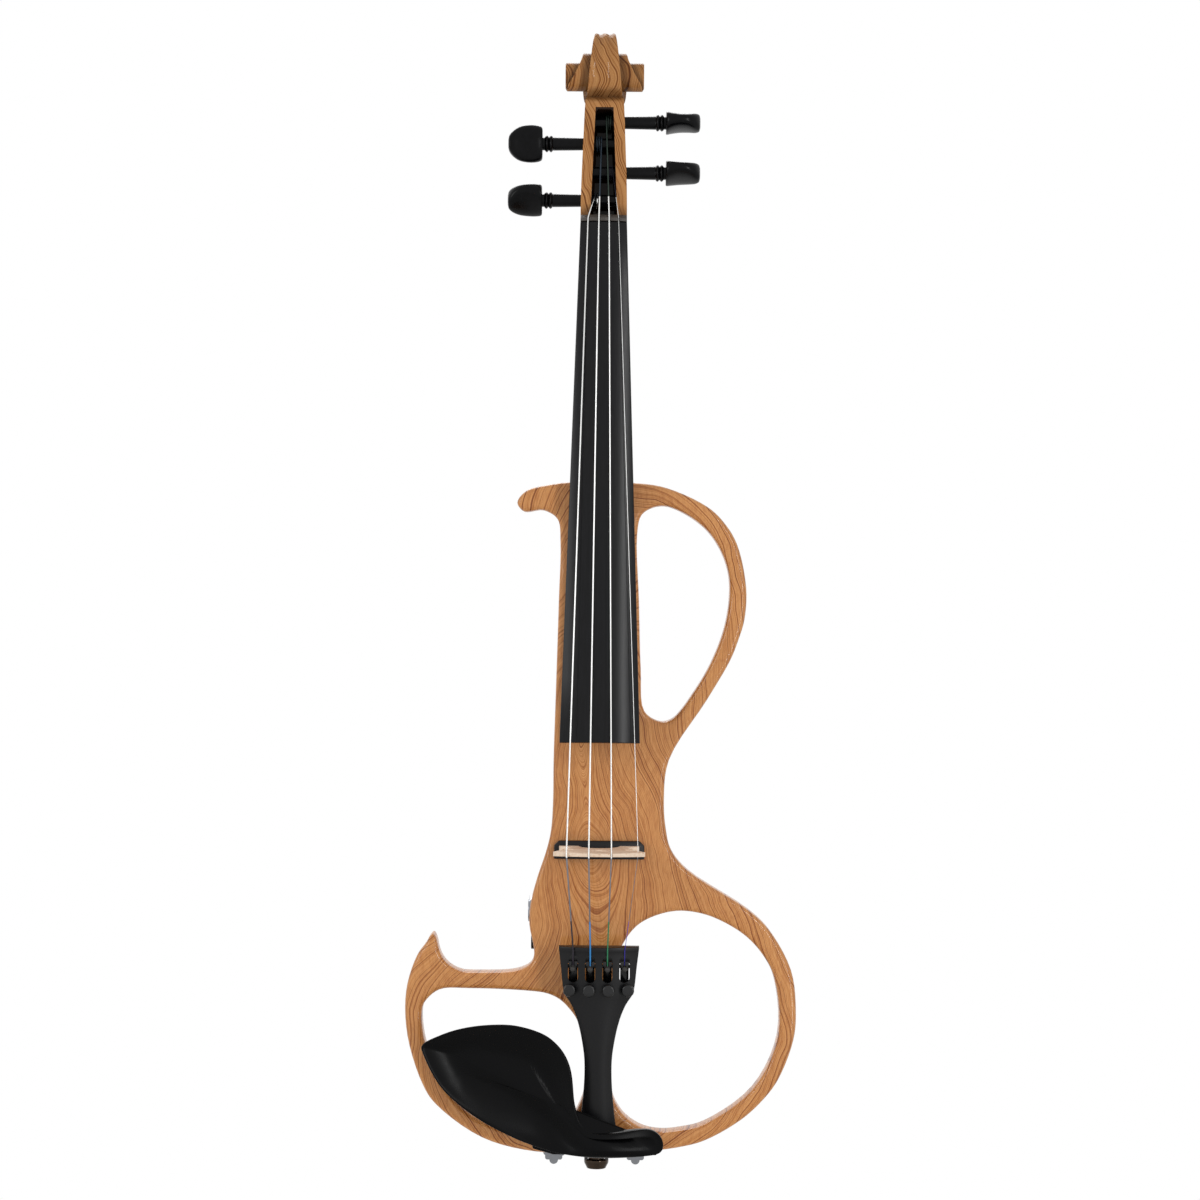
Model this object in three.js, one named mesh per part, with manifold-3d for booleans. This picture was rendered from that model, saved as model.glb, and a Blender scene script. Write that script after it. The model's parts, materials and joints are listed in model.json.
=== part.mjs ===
import * as THREE from 'three';
import { mergeVertices } from 'three/addons/utils/BufferGeometryUtils.js';
import Module from 'manifold-3d';

const wasm = await Module();
wasm.setup();

// Electric violin, upright, front toward -Y, scroll toward +Z.
// The origin is the centre of the end button's outer face. Lengths are millimetres.

// Driving dimensions of the body
const bodyLength = 351;
const bodyWidth = 204;
const frameDepth = 16;
const blockDepth = 28;
const frameEdgeRound = 2.6;
const blockEdgeRound = 3;
const buttonStandOff = 9;

// Driving dimensions of the neck, fingerboard and strings
const neckLength = 135.5;
const neckAngle = THREE.MathUtils.degToRad(4.4);
const overstand = 6;
const boardLength = 272;
const boardTopWidth = 24.3;
const boardEndWidth = 41.5;
const boardArchRadius = 42;
const boardEdgeThickness = 4.5;
const bodyStopShare = 0.5527;
const stringLength = neckLength + bodyLength * bodyStopShare;
const stringNames = ['g', 'd', 'a', 'e'];
const stringGauges = { g: 0.8, d: 0.8, a: 0.7, e: 0.3 };
const stringActions = { g: 5.5, d: 5, a: 4.5, e: 3.5 };
const nutStringSpread = 16;
const bridgeStringSpread = 36.7;
const tailStringSpread = 26.6;
const nutSpreadShares = { g: -0.51, d: -0.155, a: 0.178, e: 0.485 };
const bridgeSpreadShares = { g: -0.45, d: -0.139, a: 0.177, e: 0.55 };
const tailSpreadShares = { g: -0.5, d: -0.1667, a: 0.1667, e: 0.5 };

// Gap kept between pieces that touch, how far a cutter runs past a face, and round counts
const clearance = 0.3;
const overrun = 2;
const mergeDistance = 0.0001;
const roundSides = 18;
const fineSides = 10;

const point = (x, y, z) => new THREE.Vector3(x, y, z);
const upAxis = point(0, 1, 0);

// Closed geometry to solid and back, with empty triangles left out and faces pointing out
function toSolid(geometry) {
  const bare = new THREE.BufferGeometry();
  bare.setAttribute('position', geometry.getAttribute('position').clone());
  bare.setIndex(geometry.index ? geometry.index.clone() : null);
  const merged = mergeVertices(bare, mergeDistance);
  const corners = merged.index.array;
  const place = merged.getAttribute('position').array;
  const kept = [];
  let volume = 0;
  const a = point(0, 0, 0);
  const b = point(0, 0, 0);
  const c = point(0, 0, 0);
  for (let i = 0; i < corners.length; i += 3) {
    const [p, q, r] = [corners[i], corners[i + 1], corners[i + 2]];
    if (p === q || q === r || r === p) continue;
    kept.push([p, q, r]);
    volume += a.fromArray(place, p * 3).dot(b.fromArray(place, q * 3).cross(c.fromArray(place, r * 3)));
  }
  const facing = kept.flatMap(([p, q, r]) => (volume > 0 ? [p, q, r] : [p, r, q]));
  return new wasm.Manifold(new wasm.Mesh({
    numProp: 3,
    vertProperties: Float32Array.from(place),
    triVerts: Uint32Array.from(facing),
  }));
}

function toGeometry(solid) {
  const mesh = solid.getMesh();
  const geometry = new THREE.BufferGeometry();
  const place = Float32Array.from(mesh.vertProperties);
  geometry.setAttribute('position', new THREE.BufferAttribute(place, mesh.numProp));
  geometry.setIndex(new THREE.BufferAttribute(Uint32Array.from(mesh.triVerts), 1));
  geometry.computeVertexNormals();
  return geometry;
}

const join = (...solids) => solids.reduce((whole, solid) => whole.add(solid));
const cut = (base, ...tools) => tools.reduce((rest, tool) => rest.subtract(tool), base);

// Box between two corners
function slab(low, high) {
  const size = high.clone().sub(low);
  const geometry = new THREE.BoxGeometry(size.x, size.y, size.z);
  geometry.translate((low.x + high.x) / 2, (low.y + high.y) / 2, (low.z + high.z) / 2);
  return toSolid(geometry);
}

// Cylinder or cone from one point to another
function rod(start, end, radius, sides = roundSides, endRadius = radius) {
  const along = end.clone().sub(start);
  const geometry = new THREE.CylinderGeometry(endRadius, radius, along.length(), sides);
  geometry.translate(0, along.length() / 2, 0);
  geometry.applyQuaternion(new THREE.Quaternion().setFromUnitVectors(upAxis, along.clone().normalize()));
  geometry.translate(start.x, start.y, start.z);
  return toSolid(geometry);
}

// Turned piece: profile points are [distance along the axis, radius]
function turned(profile, start, direction, sides = roundSides) {
  const outline = profile.map(([along, radius]) => new THREE.Vector2(radius, along));
  const geometry = new THREE.LatheGeometry(outline, sides);
  geometry.applyQuaternion(new THREE.Quaternion().setFromUnitVectors(upAxis, direction));
  geometry.translate(start.x, start.y, start.z);
  return toSolid(geometry);
}

// Skin through closed rings of equal count, with each end closed by triangles in its own plane
function loft(rings, flatten = (p) => new THREE.Vector2(p.x, p.y)) {
  const place = [];
  const face = (...corners) => corners.forEach((p) => place.push(p.x, p.y, p.z));
  for (let i = 0; i < rings.length - 1; i += 1) {
    rings[i].forEach((from, j) => {
      const next = (j + 1) % rings[i].length;
      face(from, rings[i][next], rings[i + 1][next]);
      face(from, rings[i + 1][next], rings[i + 1][j]);
    });
  }
  const close = (ring, last) => {
    const flat = ring.map(flatten);
    const clockwise = THREE.ShapeUtils.isClockWise(flat);
    const order = clockwise ? [...ring.keys()].reverse() : [...ring.keys()];
    THREE.ShapeUtils.triangulateShape(order.map((k) => flat[k]), []).forEach(([p, q, r]) => {
      const corners = [ring[order[p]], ring[order[q]], ring[order[r]]];
      face(...(clockwise === last ? corners.reverse() : corners));
    });
  };
  close(rings[0], false);
  close(rings[rings.length - 1], true);
  const geometry = new THREE.BufferGeometry();
  geometry.setAttribute('position', new THREE.BufferAttribute(Float32Array.from(place), 3));
  return toSolid(geometry);
}

// Path through chosen stations, so that a tube has one ring on each of them
class Route extends THREE.Curve {
  constructor(stations) {
    super();
    this.stations = stations;
  }

  getPoint(share) {
    const reach = share * (this.stations.length - 1);
    const from = Math.min(Math.floor(reach + mergeDistance), this.stations.length - 2);
    return this.stations[from].clone().lerp(this.stations[from + 1], reach - from);
  }

  getPointAt(share) {
    return this.getPoint(share);
  }

  getTangentAt(share) {
    const last = this.stations.length - 1;
    const here = Math.round(share * last);
    const before = this.stations[Math.max(here - 1, 0)];
    const after = this.stations[Math.min(here + 1, last)];
    const middle = this.stations[here];
    const arriving = middle.clone().sub(before).normalize();
    const leaving = after.clone().sub(middle).normalize();
    return arriving.add(leaving).normalize();
  }
}

function tube(stations, radius, sides) {
  const corners = Array.from({ length: sides }, (_, i) => {
    const angle = (Math.PI * 2 * i) / sides;
    return new THREE.Vector2(radius * Math.cos(angle), radius * Math.sin(angle));
  });
  const section = new THREE.Shape(corners);
  const path = new Route(stations);
  return toSolid(new THREE.ExtrudeGeometry(section, {
    steps: stations.length - 1,
    extrudePath: path,
    bevelEnabled: false,
  }));
}

// Outline drawn in X and Z, given depth along Y from its front face back
function standing(shape, frontY, depth, edge = 0, edgeSteps = 2, arcSteps = 2) {
  const geometry = new THREE.ExtrudeGeometry(shape, {
    depth: depth - 2 * edge,
    bevelEnabled: edge > 0,
    bevelThickness: edge,
    bevelSize: edge,
    bevelOffset: -edge,
    bevelSegments: edgeSteps,
    curveSegments: arcSteps,
  });
  geometry.translate(0, 0, edge);
  geometry.rotateX(Math.PI / 2);
  geometry.translate(0, frontY + depth, 0);
  return toSolid(geometry);
}

// Smooth closed curve through the points, with a given count of points per span
function smoothLoop(points, perSpan) {
  const curve = new THREE.CatmullRomCurve3(points.map((p) => point(p.x, p.y, 0)), true, 'centripetal');
  const count = Math.round(points.length * perSpan);
  return Array.from({ length: count }, (_, i) => {
    const place = curve.getPoint(i / count);
    return new THREE.Vector2(place.x, place.y);
  });
}

// Plate with openings and rounded edges, where the rounding narrows with the wood that it rounds
const thinWoodShare = 0.36;

function roundedPlate(outline, openings, frontY, depth, edge, steps = 2) {
  const loops = [outline, ...openings].map((loop, i) => {
    const clockwise = THREE.ShapeUtils.isClockWise(loop);
    return clockwise === (i > 0) ? loop : [...loop].reverse();
  });
  const everyPoint = loops.flat();
  const insets = loops.map((loop) => loop.map((p, i) => {
    const along = loop[(i + 1) % loop.length].clone().sub(loop.at(i - 1)).normalize();
    const inward = new THREE.Vector2(-along.y, along.x);
    const across = everyPoint.map((q) => q.clone().sub(p)).filter((step) => (
      step.dot(inward) > step.length() * Math.SQRT1_2 && step.length() > 0
    ));
    const wood = Math.min(...across.map((step) => step.length()));
    return inward.multiplyScalar(Math.min(edge, wood * thinWoodShare));
  }));
  const layer = (share, y) => loops.map((loop, n) => loop.map((p, i) => {
    const place = p.clone().addScaledVector(insets[n][i], share);
    return point(place.x, y, place.y);
  }));
  const layers = [];
  for (let k = 0; k <= steps; k += 1) {
    const angle = (Math.PI / 2) * (k / steps);
    layers.push(layer(1 - Math.sin(angle), frontY + edge * (1 - Math.cos(angle))));
  }
  for (let k = steps; k >= 0; k -= 1) {
    const angle = (Math.PI / 2) * (k / steps);
    layers.push(layer(1 - Math.sin(angle), frontY + depth - edge * (1 - Math.cos(angle))));
  }
  const place = [];
  const face = (...corners) => corners.forEach((p) => place.push(p.x, p.y, p.z));
  for (let k = 0; k < layers.length - 1; k += 1) {
    layers[k].forEach((loop, n) => loop.forEach((from, i) => {
      const next = (i + 1) % loop.length;
      face(from, loop[next], layers[k + 1][n][next]);
      face(from, layers[k + 1][n][next], layers[k + 1][n][i]);
    }));
  }
  [[layers[0], 1], [layers[layers.length - 1], -1]].forEach(([rings, side]) => {
    const flat = rings.map((ring) => ring.map((p) => new THREE.Vector2(p.x, p.z)));
    const all = rings.flat();
    THREE.ShapeUtils.triangulateShape(flat[0], flat.slice(1)).forEach(([a, b, c]) => {
      face(all[a], side > 0 ? all[c] : all[b], side > 0 ? all[b] : all[c]);
    });
  });
  const geometry = new THREE.BufferGeometry();
  geometry.setAttribute('position', new THREE.BufferAttribute(Float32Array.from(place), 3));
  return toSolid(geometry);
}

function roundedRectangle(left, right, low, high, radius) {
  const shape = new THREE.Shape();
  shape.absarc(right - radius, low + radius, radius, -Math.PI / 2, 0);
  shape.absarc(right - radius, high - radius, radius, 0, Math.PI / 2);
  shape.absarc(left + radius, high - radius, radius, Math.PI / 2, Math.PI);
  shape.absarc(left + radius, low + radius, radius, Math.PI, Math.PI * 1.5);
  return shape;
}

const mix = THREE.MathUtils.lerp;

// Value at a place in a table of rows, each starting with its own place
function fromTable(rows, place, column) {
  const upper = Math.max(1, rows.findIndex((row) => row[0] >= place));
  const [low, high] = [rows[upper - 1], rows[upper]];
  return mix(low[column], high[column], (place - low[0]) / (high[0] - low[0]));
}

// Places that everything else is set out from
const bodyFront = -frameDepth / 2;
const bodyBack = frameDepth / 2;
const blockBack = bodyFront + blockDepth;
const bodyBottom = buttonStandOff;
const bodyTop = bodyBottom + bodyLength;
const alongBody = (share) => bodyBottom + share * bodyLength;
const acrossBody = (share) => share * bodyWidth;
const neckFoot = point(0, bodyFront - overstand, bodyTop);
const neckTurn = new THREE.Matrix4().makeRotationX(-neckAngle).setPosition(neckFoot);
const fromNeck = (x, y, z) => point(x, y, z).applyMatrix4(neckTurn);

// Fingerboard: tapered, arched on top, flat below, measured along the neck from the body's top edge
const boardNutEnd = neckLength;
const boardBodyEnd = neckLength - boardLength;
const archPoints = 8;
const boardWidthAt = (z) => mix(boardTopWidth, boardEndWidth, (neckLength - z) / boardLength);
const archDrop = (x) => boardArchRadius - Math.sqrt(boardArchRadius ** 2 - x ** 2);
const boardHeight = (x, z) => boardEdgeThickness + archDrop(boardWidthAt(z) / 2) - archDrop(x);

// Section of the board's width, from its flat underside up to an arch that stands `rise` above it
function archedSection(z, rise, underside) {
  const half = boardWidthAt(z) / 2;
  const arch = Array.from({ length: archPoints + 1 }, (_, i) => {
    const x = mix(half, -half, i / archPoints);
    return point(x, -boardHeight(x, z) - rise, z);
  });
  return [point(half, underside, z), ...arch, point(-half, underside, z)];
}

function makeFingerboard() {
  return loft([archedSection(boardBodyEnd, 0, 0), archedSection(boardNutEnd, 0, 0)]);
}

// Nut: stands a little above the board, and falls away toward the pegbox
const nutLength = 3.6;
const nutRise = 0.9;
const nutRearDrop = 2.4;
const nutCrestShare = 0.45;
const stringDepthInNut = 0.5;
const nutFront = boardNutEnd + clearance;
const nutRear = nutFront + nutLength;
const nutCrest = mix(nutFront, nutRear, nutCrestShare);

function makeNut() {
  return loft([
    archedSection(nutFront, nutRise, 0),
    archedSection(nutCrest, nutRise, 0),
    archedSection(nutRear, nutRise - nutRearDrop, 0),
  ]);
}

// Scroll and pegbox sizes, along the neck from the nut's rear edge
const neckFrontGap = clearance;
const pegboxLength = 77.6;
const eyeDepth = 13.4;
const eyePlace = nutRear + pegboxLength;
const voluteBackRadius = 20.5;

// Neck stations: [share of the neck length, half width, back depth, roundness of the section]
const neckRootDepth = 31.5;
const heelShares = [
  [0, 0.66, 1, 3],
  [0.035, 0.65, 0.93, 3],
  [0.08, 0.63, 0.76, 2.8],
  [0.13, 0.61, 0.6, 2.5],
  [0.2, 0.59, 0.49, 2.2],
  [0.32, 0.57, 0.445, 2],
  [0.65, 0.54, 0.42, 2],
  [0.93, 0.502, 0.4, 2],
  [1.025, 0.5, 0.47, 2.4],
];

// Pegbox stations: [share of the pegbox length, half width, front, back depth] in shares
const pegboxShares = [
  [0.05, 0.5, 0, 0.6],
  [0.2, 0.492, 0, 0.655],
  [0.4, 0.47, 0, 0.625],
  [0.6, 0.445, 0, 0.59],
  [0.72, 0.43, 0, 0.6],
  [0.785, 0.417, 0.05, 0.66],
  [0.85, 0.39, 0.5, 0.775],
  [0.92, 0.34, 0.93, 0.9],
  [1, 0.2675, 1, 1],
];
const pegboxBackDepth = eyeDepth + voluteBackRadius;
const sectionSteps = 12;
const backFluteDepth = 1.1;

// Rounded section, flat in front, with the corners of the front at full width
function neckSection(place, halfWidth, front, back, roundness, flute = 0) {
  return Array.from({ length: sectionSteps + 1 }, (_, i) => {
    const angle = (Math.PI * i) / sectionSteps;
    const wide = Math.abs(Math.cos(angle)) ** (2 / roundness) * Math.sign(Math.cos(angle));
    const deep = Math.sin(angle) ** (2 / roundness);
    const hollow = flute * Math.sin(Math.PI * wide) ** 2 * deep;
    const y = mix(front, back, deep) - hollow;
    return point(wide * halfWidth, y, typeof place === 'number' ? place : place(y));
  });
}

// Volute: radius and width in shares, every eighth of a turn from its back, over the top, to the eye
const eyeRadius = 7;
const eyeWidth = 41.5;
const voluteRadiusShares = [
  1, 1.09, 1.12, 1, 0.86, 0.775, 0.732, 0.66, 0.634, 0.63, 0.6, 0.546, 0.478, 0.43, 0.39, 0.36, 0.3415,
];
const voluteWidthShares = [
  0.313, 0.272, 0.253, 0.313, 0.386, 0.441, 0.482, 0.542, 0.571, 0.561, 0.554, 0.593, 0.747, 0.928,
  0.971, 0.993, 1,
];
const voluteEighths = voluteRadiusShares.length - 1;
const voluteSteps = 20;
const voluteTurns = 3;
const rimChamfer = 0.9;
const rimFluteDepth = 1;
const treadScoop = 1.2;
const treadScoopShare = 0.3;

function eighthsValue(shares, angle) {
  const eighth = Math.min(angle / (Math.PI / 4), voluteEighths);
  const low = Math.min(Math.floor(eighth), voluteEighths - 1);
  return mix(shares[low], shares[low + 1], eighth - low);
}
const voluteRadius = (angle) => (
  Math.max(eyeRadius, voluteBackRadius * eighthsValue(voluteRadiusShares, angle))
);
const voluteHalfWidth = (angle) => (eyeWidth * eighthsValue(voluteWidthShares, angle)) / 2;

// Stepped profile of all turns at one direction from the eye: [distance from the eye, half width]
function voluteProfile(direction) {
  const profile = [];
  let inner = Infinity;
  let tread = 0;
  for (let turn = 0; turn < voluteTurns; turn += 1) {
    const angle = direction + turn * Math.PI * 2;
    const radius = Math.min(voluteRadius(angle), inner);
    const half = Math.max(voluteHalfWidth(angle), tread);
    profile.push([radius, Math.max(half - rimChamfer, tread)]);
    inner = Math.max(Math.min(radius - rimChamfer, radius), 0);
    profile.push([inner, half]);
    const foot = Math.min(voluteRadius(angle + Math.PI * 2), inner);
    const scoop = Math.min(treadScoop, (inner - foot) * treadScoopShare);
    tread = half;
    if (turn < voluteTurns - 1) {
      profile.push([mix(inner, foot, 0.5), half - scoop]);
      tread = half - scoop / 2;
      profile.push([foot, tread]);
      inner = foot;
    }
  }
  return profile;
}

function voluteRing(direction) {
  const side = voluteProfile(direction);
  const half = side[0][1];
  const radius = side[0][0];
  const rim = [0.5, 0, -0.5].map((share) => [radius - (share === 0 ? 0 : rimFluteDepth), half * share]);
  const loop = [
    [0, side[side.length - 1][1]],
    ...[...side].reverse(),
    ...rim,
    ...side.map(([r, x]) => [r, -x]),
    [0, -side[side.length - 1][1]],
  ];
  const [forward, upward] = [Math.cos(direction), Math.sin(direction)];
  return loop.map(([r, x]) => point(x, eyeDepth + r * forward, eyePlace + r * upward));
}

function makeVolute() {
  const halves = [0, 1].map((half) => {
    const rings = Array.from({ length: voluteSteps / 2 + 1 }, (_, i) => (
      voluteRing(((half * voluteSteps) / 2 + i) * ((Math.PI * 2) / voluteSteps))
    ));
    return loft(rings, (p) => new THREE.Vector2(p.x, p.y));
  });
  return join(...halves);
}

// Pegs: shaft through both walls, string hole, two beads, collar and flat head
const pegDepth = 9.2;
const pegPlaces = { g: 10.1, e: 25, d: 40.3, a: 51.9 };
const pegSides = { g: -1, d: -1, a: 1, e: 1 };
const pegRestTurnShares = { g: 0.139, d: 0, a: 0.236, e: 0.208 };
const pegShaftRadius = 3.5;
const pegEndRadius = 2.9;
const pegShaftReach = 27;
const pegBeadRadius = 4.4;
const pegBeadGrooveRadius = 3.4;
const pegBeadPitch = 2.2;
const pegHeadLength = 18;
const pegHeadHeight = 20;
const pegHeadFlare = 10.8;
const pegHoleRadius = 0.75;
const pegTipInset = 0.4;

const pegboxHalfWidthAt = (z) => (
  boardTopWidth * fromTable(pegboxShares, (z - nutRear) / pegboxLength, 1)
);
const pegAxisPlace = (name) => nutRear + pegPlaces[name];
const pegTaper = (x) => mix(pegShaftRadius, pegEndRadius, (pegShaftReach - x) / (pegShaftReach * 1.45));

// Pegbox slot between the walls, rounded at its top end
const slotFrontHalf = 6.9;
const slotEndHalf = 4.55;
const slotStart = 0.4;
const slotEndShare = 0.735;
const slotDepth = 16;
const slotEndDepth = 15;
const slotCorner = 1.2;

function slotHalfAt(z) {
  return mix(slotFrontHalf, slotEndHalf, (z - nutRear) / (pegboxLength * slotEndShare));
}

function makeSlot() {
  const end = nutRear + pegboxLength * slotEndShare;
  const ring = (z, half, depth) => [
    point(half, -overrun, z),
    point(half, depth - slotCorner, z),
    point(half - slotCorner, depth, z),
    point(-half + slotCorner, depth, z),
    point(-half, depth - slotCorner, z),
    point(-half, -overrun, z),
  ];
  return loft([
    ring(nutRear + slotStart, slotFrontHalf, slotDepth),
    ring(end - slotCorner, slotHalfAt(end - slotCorner), slotEndDepth),
    ring(end, slotEndHalf - slotCorner, slotEndDepth - slotCorner),
  ]);
}

function makePegHole(name) {
  const side = pegSides[name];
  const z = pegAxisPlace(name);
  const reach = boardTopWidth;
  return rod(
    point(-side * reach, pegDepth, z),
    point(side * reach, pegDepth, z),
    pegTaper(-reach) + clearance,
    fineSides,
    pegTaper(reach) + clearance,
  );
}

// Neck root: a wedge below the board that sits in the body's mortise
const rootLength = 60;
const rootHalfWidth = 12;
const rootDepthInBody = 12;
const rootSeatY = bodyFront + rootDepthInBody;

// Root as a block between the board's underside and a flat floor, given a gap all round
function rootSolid(gap) {
  const high = bodyTop + overrun + gap;
  const top = (z) => -(bodyTop - z) * Math.tan(neckAngle) + neckFoot.y + neckFrontGap;
  const low = bodyTop - rootLength - gap;
  const half = rootHalfWidth + gap;
  const floor = rootSeatY + gap;
  const lift = gap > 0 ? overstand + rootLength : 0;
  const ring = (z) => [
    point(-half, top(z) - lift, z),
    point(half, top(z) - lift, z),
    point(half, floor, z),
    point(-half, floor, z),
  ];
  return loft([ring(low), ring(high)]);
}

function makeNeck() {
  const intoNeck = neckTurn.clone().invert();
  const footPlace = (y) => (clearance + y * Math.sin(neckAngle)) / Math.cos(neckAngle);
  const heel = heelShares.map(([share, width, depth, roundness]) => neckSection(
    share === 0 ? footPlace : share * neckLength,
    boardTopWidth * width,
    neckFrontGap,
    neckRootDepth * depth,
    roundness,
  ));
  const pegbox = pegboxShares.map(([share, width, front, depth]) => neckSection(
    nutRear + share * pegboxLength,
    boardTopWidth * width,
    mix(neckFrontGap, eyeDepth, front),
    pegboxBackDepth * depth,
    share < 1 ? 4 : 8,
    share > 0.1 ? backFluteDepth : 0,
  ));
  const shaft = loft([...heel, ...pegbox]);
  const root = rootSolid(0).transform(intoNeck.elements);
  const carved = join(shaft, root, makeVolute());
  return cut(carved, makeSlot(), ...stringNames.map(makePegHole));
}

// String routes, in world places, from the peg to the tuner
const slackToPeg = clearance;
const wrapGap = clearance;
const wrapStarts = { g: -4.6, d: -1.5, a: 1, e: 4.4 };
const wrapSides = { g: 1, d: -1, a: 1, e: -1 };
const wrapTurns = 2.25;
const wrapStepsPerTurn = 24;
const wrapPitchGap = 0.46;
const wrapTubeSides = 6;

// Straight run from the nut to the front of the peg's wrap, in the neck's own frame
function pegRun(name) {
  const gauge = stringGauges[name];
  const nutX = nutSpreadShares[name] * nutStringSpread;
  const crestY = -boardHeight(nutX, nutCrest) - nutRise + stringDepthInNut - gauge / 2;
  const crest = point(nutX, crestY, nutCrest);
  const startX = wrapStarts[name];
  const radius = pegTaper(pegSides[name] * startX) + wrapGap + gauge / 2;
  const [dy, dz] = [pegDepth - crest.y, pegAxisPlace(name) - crest.z];
  const distance = Math.hypot(dy, dz);
  const lean = Math.atan2(dy, dz) - Math.asin(radius / distance);
  const length = Math.sqrt(distance ** 2 - radius ** 2);
  const touch = point(startX, crest.y + Math.sin(lean) * length, crest.z + Math.cos(lean) * length);
  return { crest, touch, radius, gauge, along: touch.clone().sub(crest).normalize() };
}

function makeWinding(name) {
  const { touch, radius, gauge, along } = pegRun(name);
  const axis = [pegDepth, pegAxisPlace(name)];
  const startAngle = Math.atan2(touch.z - axis[1], touch.y - axis[0]);
  const steps = Math.round(wrapTurns * wrapStepsPerTurn);
  const travel = wrapSides[name] * (gauge + wrapPitchGap) * wrapTurns;
  const stations = [touch.clone().addScaledVector(along, -gauge)];
  let last = startAngle;
  for (let i = 0; i <= steps; i += 1) {
    const share = i / steps;
    last = startAngle - share * wrapTurns * Math.PI * 2;
    stations.push(point(
      touch.x + share * travel,
      axis[0] + radius * Math.cos(last),
      axis[1] + radius * Math.sin(last),
    ));
  }
  const endX = touch.x + travel;
  const inward = radius - gauge - wrapGap;
  stations.push(point(endX, axis[0] + inward * Math.cos(last), axis[1] + inward * Math.sin(last)));
  return { stations, endX, last };
}

function leastGapToItself(stations, gauge) {
  let least = Infinity;
  stations.forEach((from, i) => {
    for (let j = i + Math.round(wrapStepsPerTurn / 2); j < stations.length; j += 1) {
      least = Math.min(least, from.distanceTo(stations[j]) - gauge);
    }
  });
  return least;
}

// Bridge, standing on the pickup, with its crown set by the strings
const pickupThickness = 4;
const pickupWidth = 47;
const pickupBreadth = 9.5;
const pickupCorner = 2.5;
const bridgeCentre = 0.2;
const stringDepthInBridge = 0.5;
const bridgeFootY = bodyFront - clearance - pickupThickness - clearance;

function bridgePoint(name) {
  const gauge = stringGauges[name];
  const { crest } = pegRun(name);
  const endX = mix(crest.x, bridgeSpreadShares[name] * bridgeStringSpread, boardLength / stringLength);
  const endY = -boardHeight(endX, boardBodyEnd) - stringActions[name] - gauge / 2;
  const reach = stringLength / boardLength;
  const y = mix(crest.y, endY, reach);
  return fromNeck(bridgeSpreadShares[name] * bridgeStringSpread, y, neckLength - stringLength);
}

const bridgePlace = stringNames.reduce((sum, name) => sum + bridgePoint(name).z / stringNames.length, 0);

// Tailpiece, hung over the body from the tailgut
const tailEndLift = 9;
const tailLengthShare = 0.2883;
const tailEnd = bodyBottom + tailEndLift;
const tailLength = bodyLength * tailLengthShare;
const tailTop = tailEnd + tailLength;
const tailCentre = 0.5;
const tailTopWidth = 41.4;
const tailTopHeight = 24.3;
const tailEndHeight = 14;
const tailArch = 5.4;
const tailSideDepth = 6.4;
const tailPlateThickness = 2.6;
const tailWall = 1.2;
const ridgeHeight = 1.2;
const ridgeCentreShare = 0.015;

// Tailpiece stations from its top: [share of length, width, arch, side depth, ridge]
const tailShares = [
  [0, 1, 1, 0.8, 0],
  [0.008, 1, 1, 0.9, 1],
  [0.022, 0.995, 1, 1, 1],
  [0.032, 0.99, 1, 1, 0],
  [0.1, 0.95, 0.96, 1, 0],
  [0.2, 0.9, 0.9, 0.95, 0],
  [0.24, 0.86, 0.86, 0.92, 0],
  [0.3, 0.68, 0.75, 0.9, 0],
  [0.37, 0.54, 0.65, 0.9, 0],
  [0.47, 0.42, 0.55, 0.9, 0],
  [0.58, 0.345, 0.5, 0.9, 0],
  [0.7, 0.345, 0.5, 0.95, 0],
  [0.86, 0.41, 0.55, 1, 0],
  [0.96, 0.47, 0.6, 1, 0],
  [1, 0.45, 0.55, 0.8, 0],
];
const tailAt = (z) => (tailTop - z) / tailLength;
const tailHalfWidth = (z) => (tailTopWidth / 2) * fromTable(tailShares, tailAt(z), 1);
const tailHeight = (z) => mix(tailTopHeight, tailEndHeight, tailAt(z));
const tailDrop = (x, z) => (
  tailArch * fromTable(tailShares, tailAt(z), 2) * (x / tailHalfWidth(z)) ** 2
);
const tailSurface = (x, z) => bodyFront - tailHeight(z) + tailDrop(x, z);
const tailArchPoints = 8;

function tailRing(z, inset, lower, ridge, bottom) {
  const half = tailHalfWidth(z) - inset;
  const arch = Array.from({ length: tailArchPoints + 1 }, (_, i) => {
    const x = mix(half, -half, i / tailArchPoints);
    return point(tailCentre + x, tailSurface(x, z) + lower - ridge, z);
  });
  return [point(tailCentre + half, bottom, z), ...arch, point(tailCentre - half, bottom, z)];
}

// Fine tuner lines across the tailpiece, from its top, in shares of its length
const tunerLineShares = {
  pocketHigh: 0.0277,
  slotHigh: 0.0435,
  pivot: 0.1047,
  slotLow: 0.1848,
  screw: 0.2213,
  armEnd: 0.2371,
  pocketLow: 0.2717,
};
const tunerLine = (name) => tailTop - tailLength * tunerLineShares[name];

// Fine tuner sizes: slots, hooks, pivot rod and screws
const tunerSlotWidth = 5.3;
const tunerScrewSpread = 30.2;
const pivotRadius = 1;
const pivotLift = 8;
const leverHubRadius = 2.1;
const leverWidth = 4.4;
const hookThickness = 2.2;
const hookAhead = 1;
const hookStandProud = 1.5;
const hookNotch = 1.5;
const leverArmThickness = 1.8;
const leverPadWidth = 3;
const leverPadLength = 3.4;
const ballRadius = 1.5;
const tunerScrewHeadRadius = 3.2;
const tunerScrewHeadHeight = 3.2;
const tunerScrewRadius = 1.3;
const pivotPlace = tunerLine('pivot');
const pivotY = bodyFront - tailHeight(pivotPlace) + pivotLift;
const hookFace = pivotPlace + hookAhead;
const screwPlace = tunerLine('screw');
const slotRoundShare = 0.98;
const slotCentre = (name) => tailSpreadShares[name] * tailStringSpread;
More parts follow.
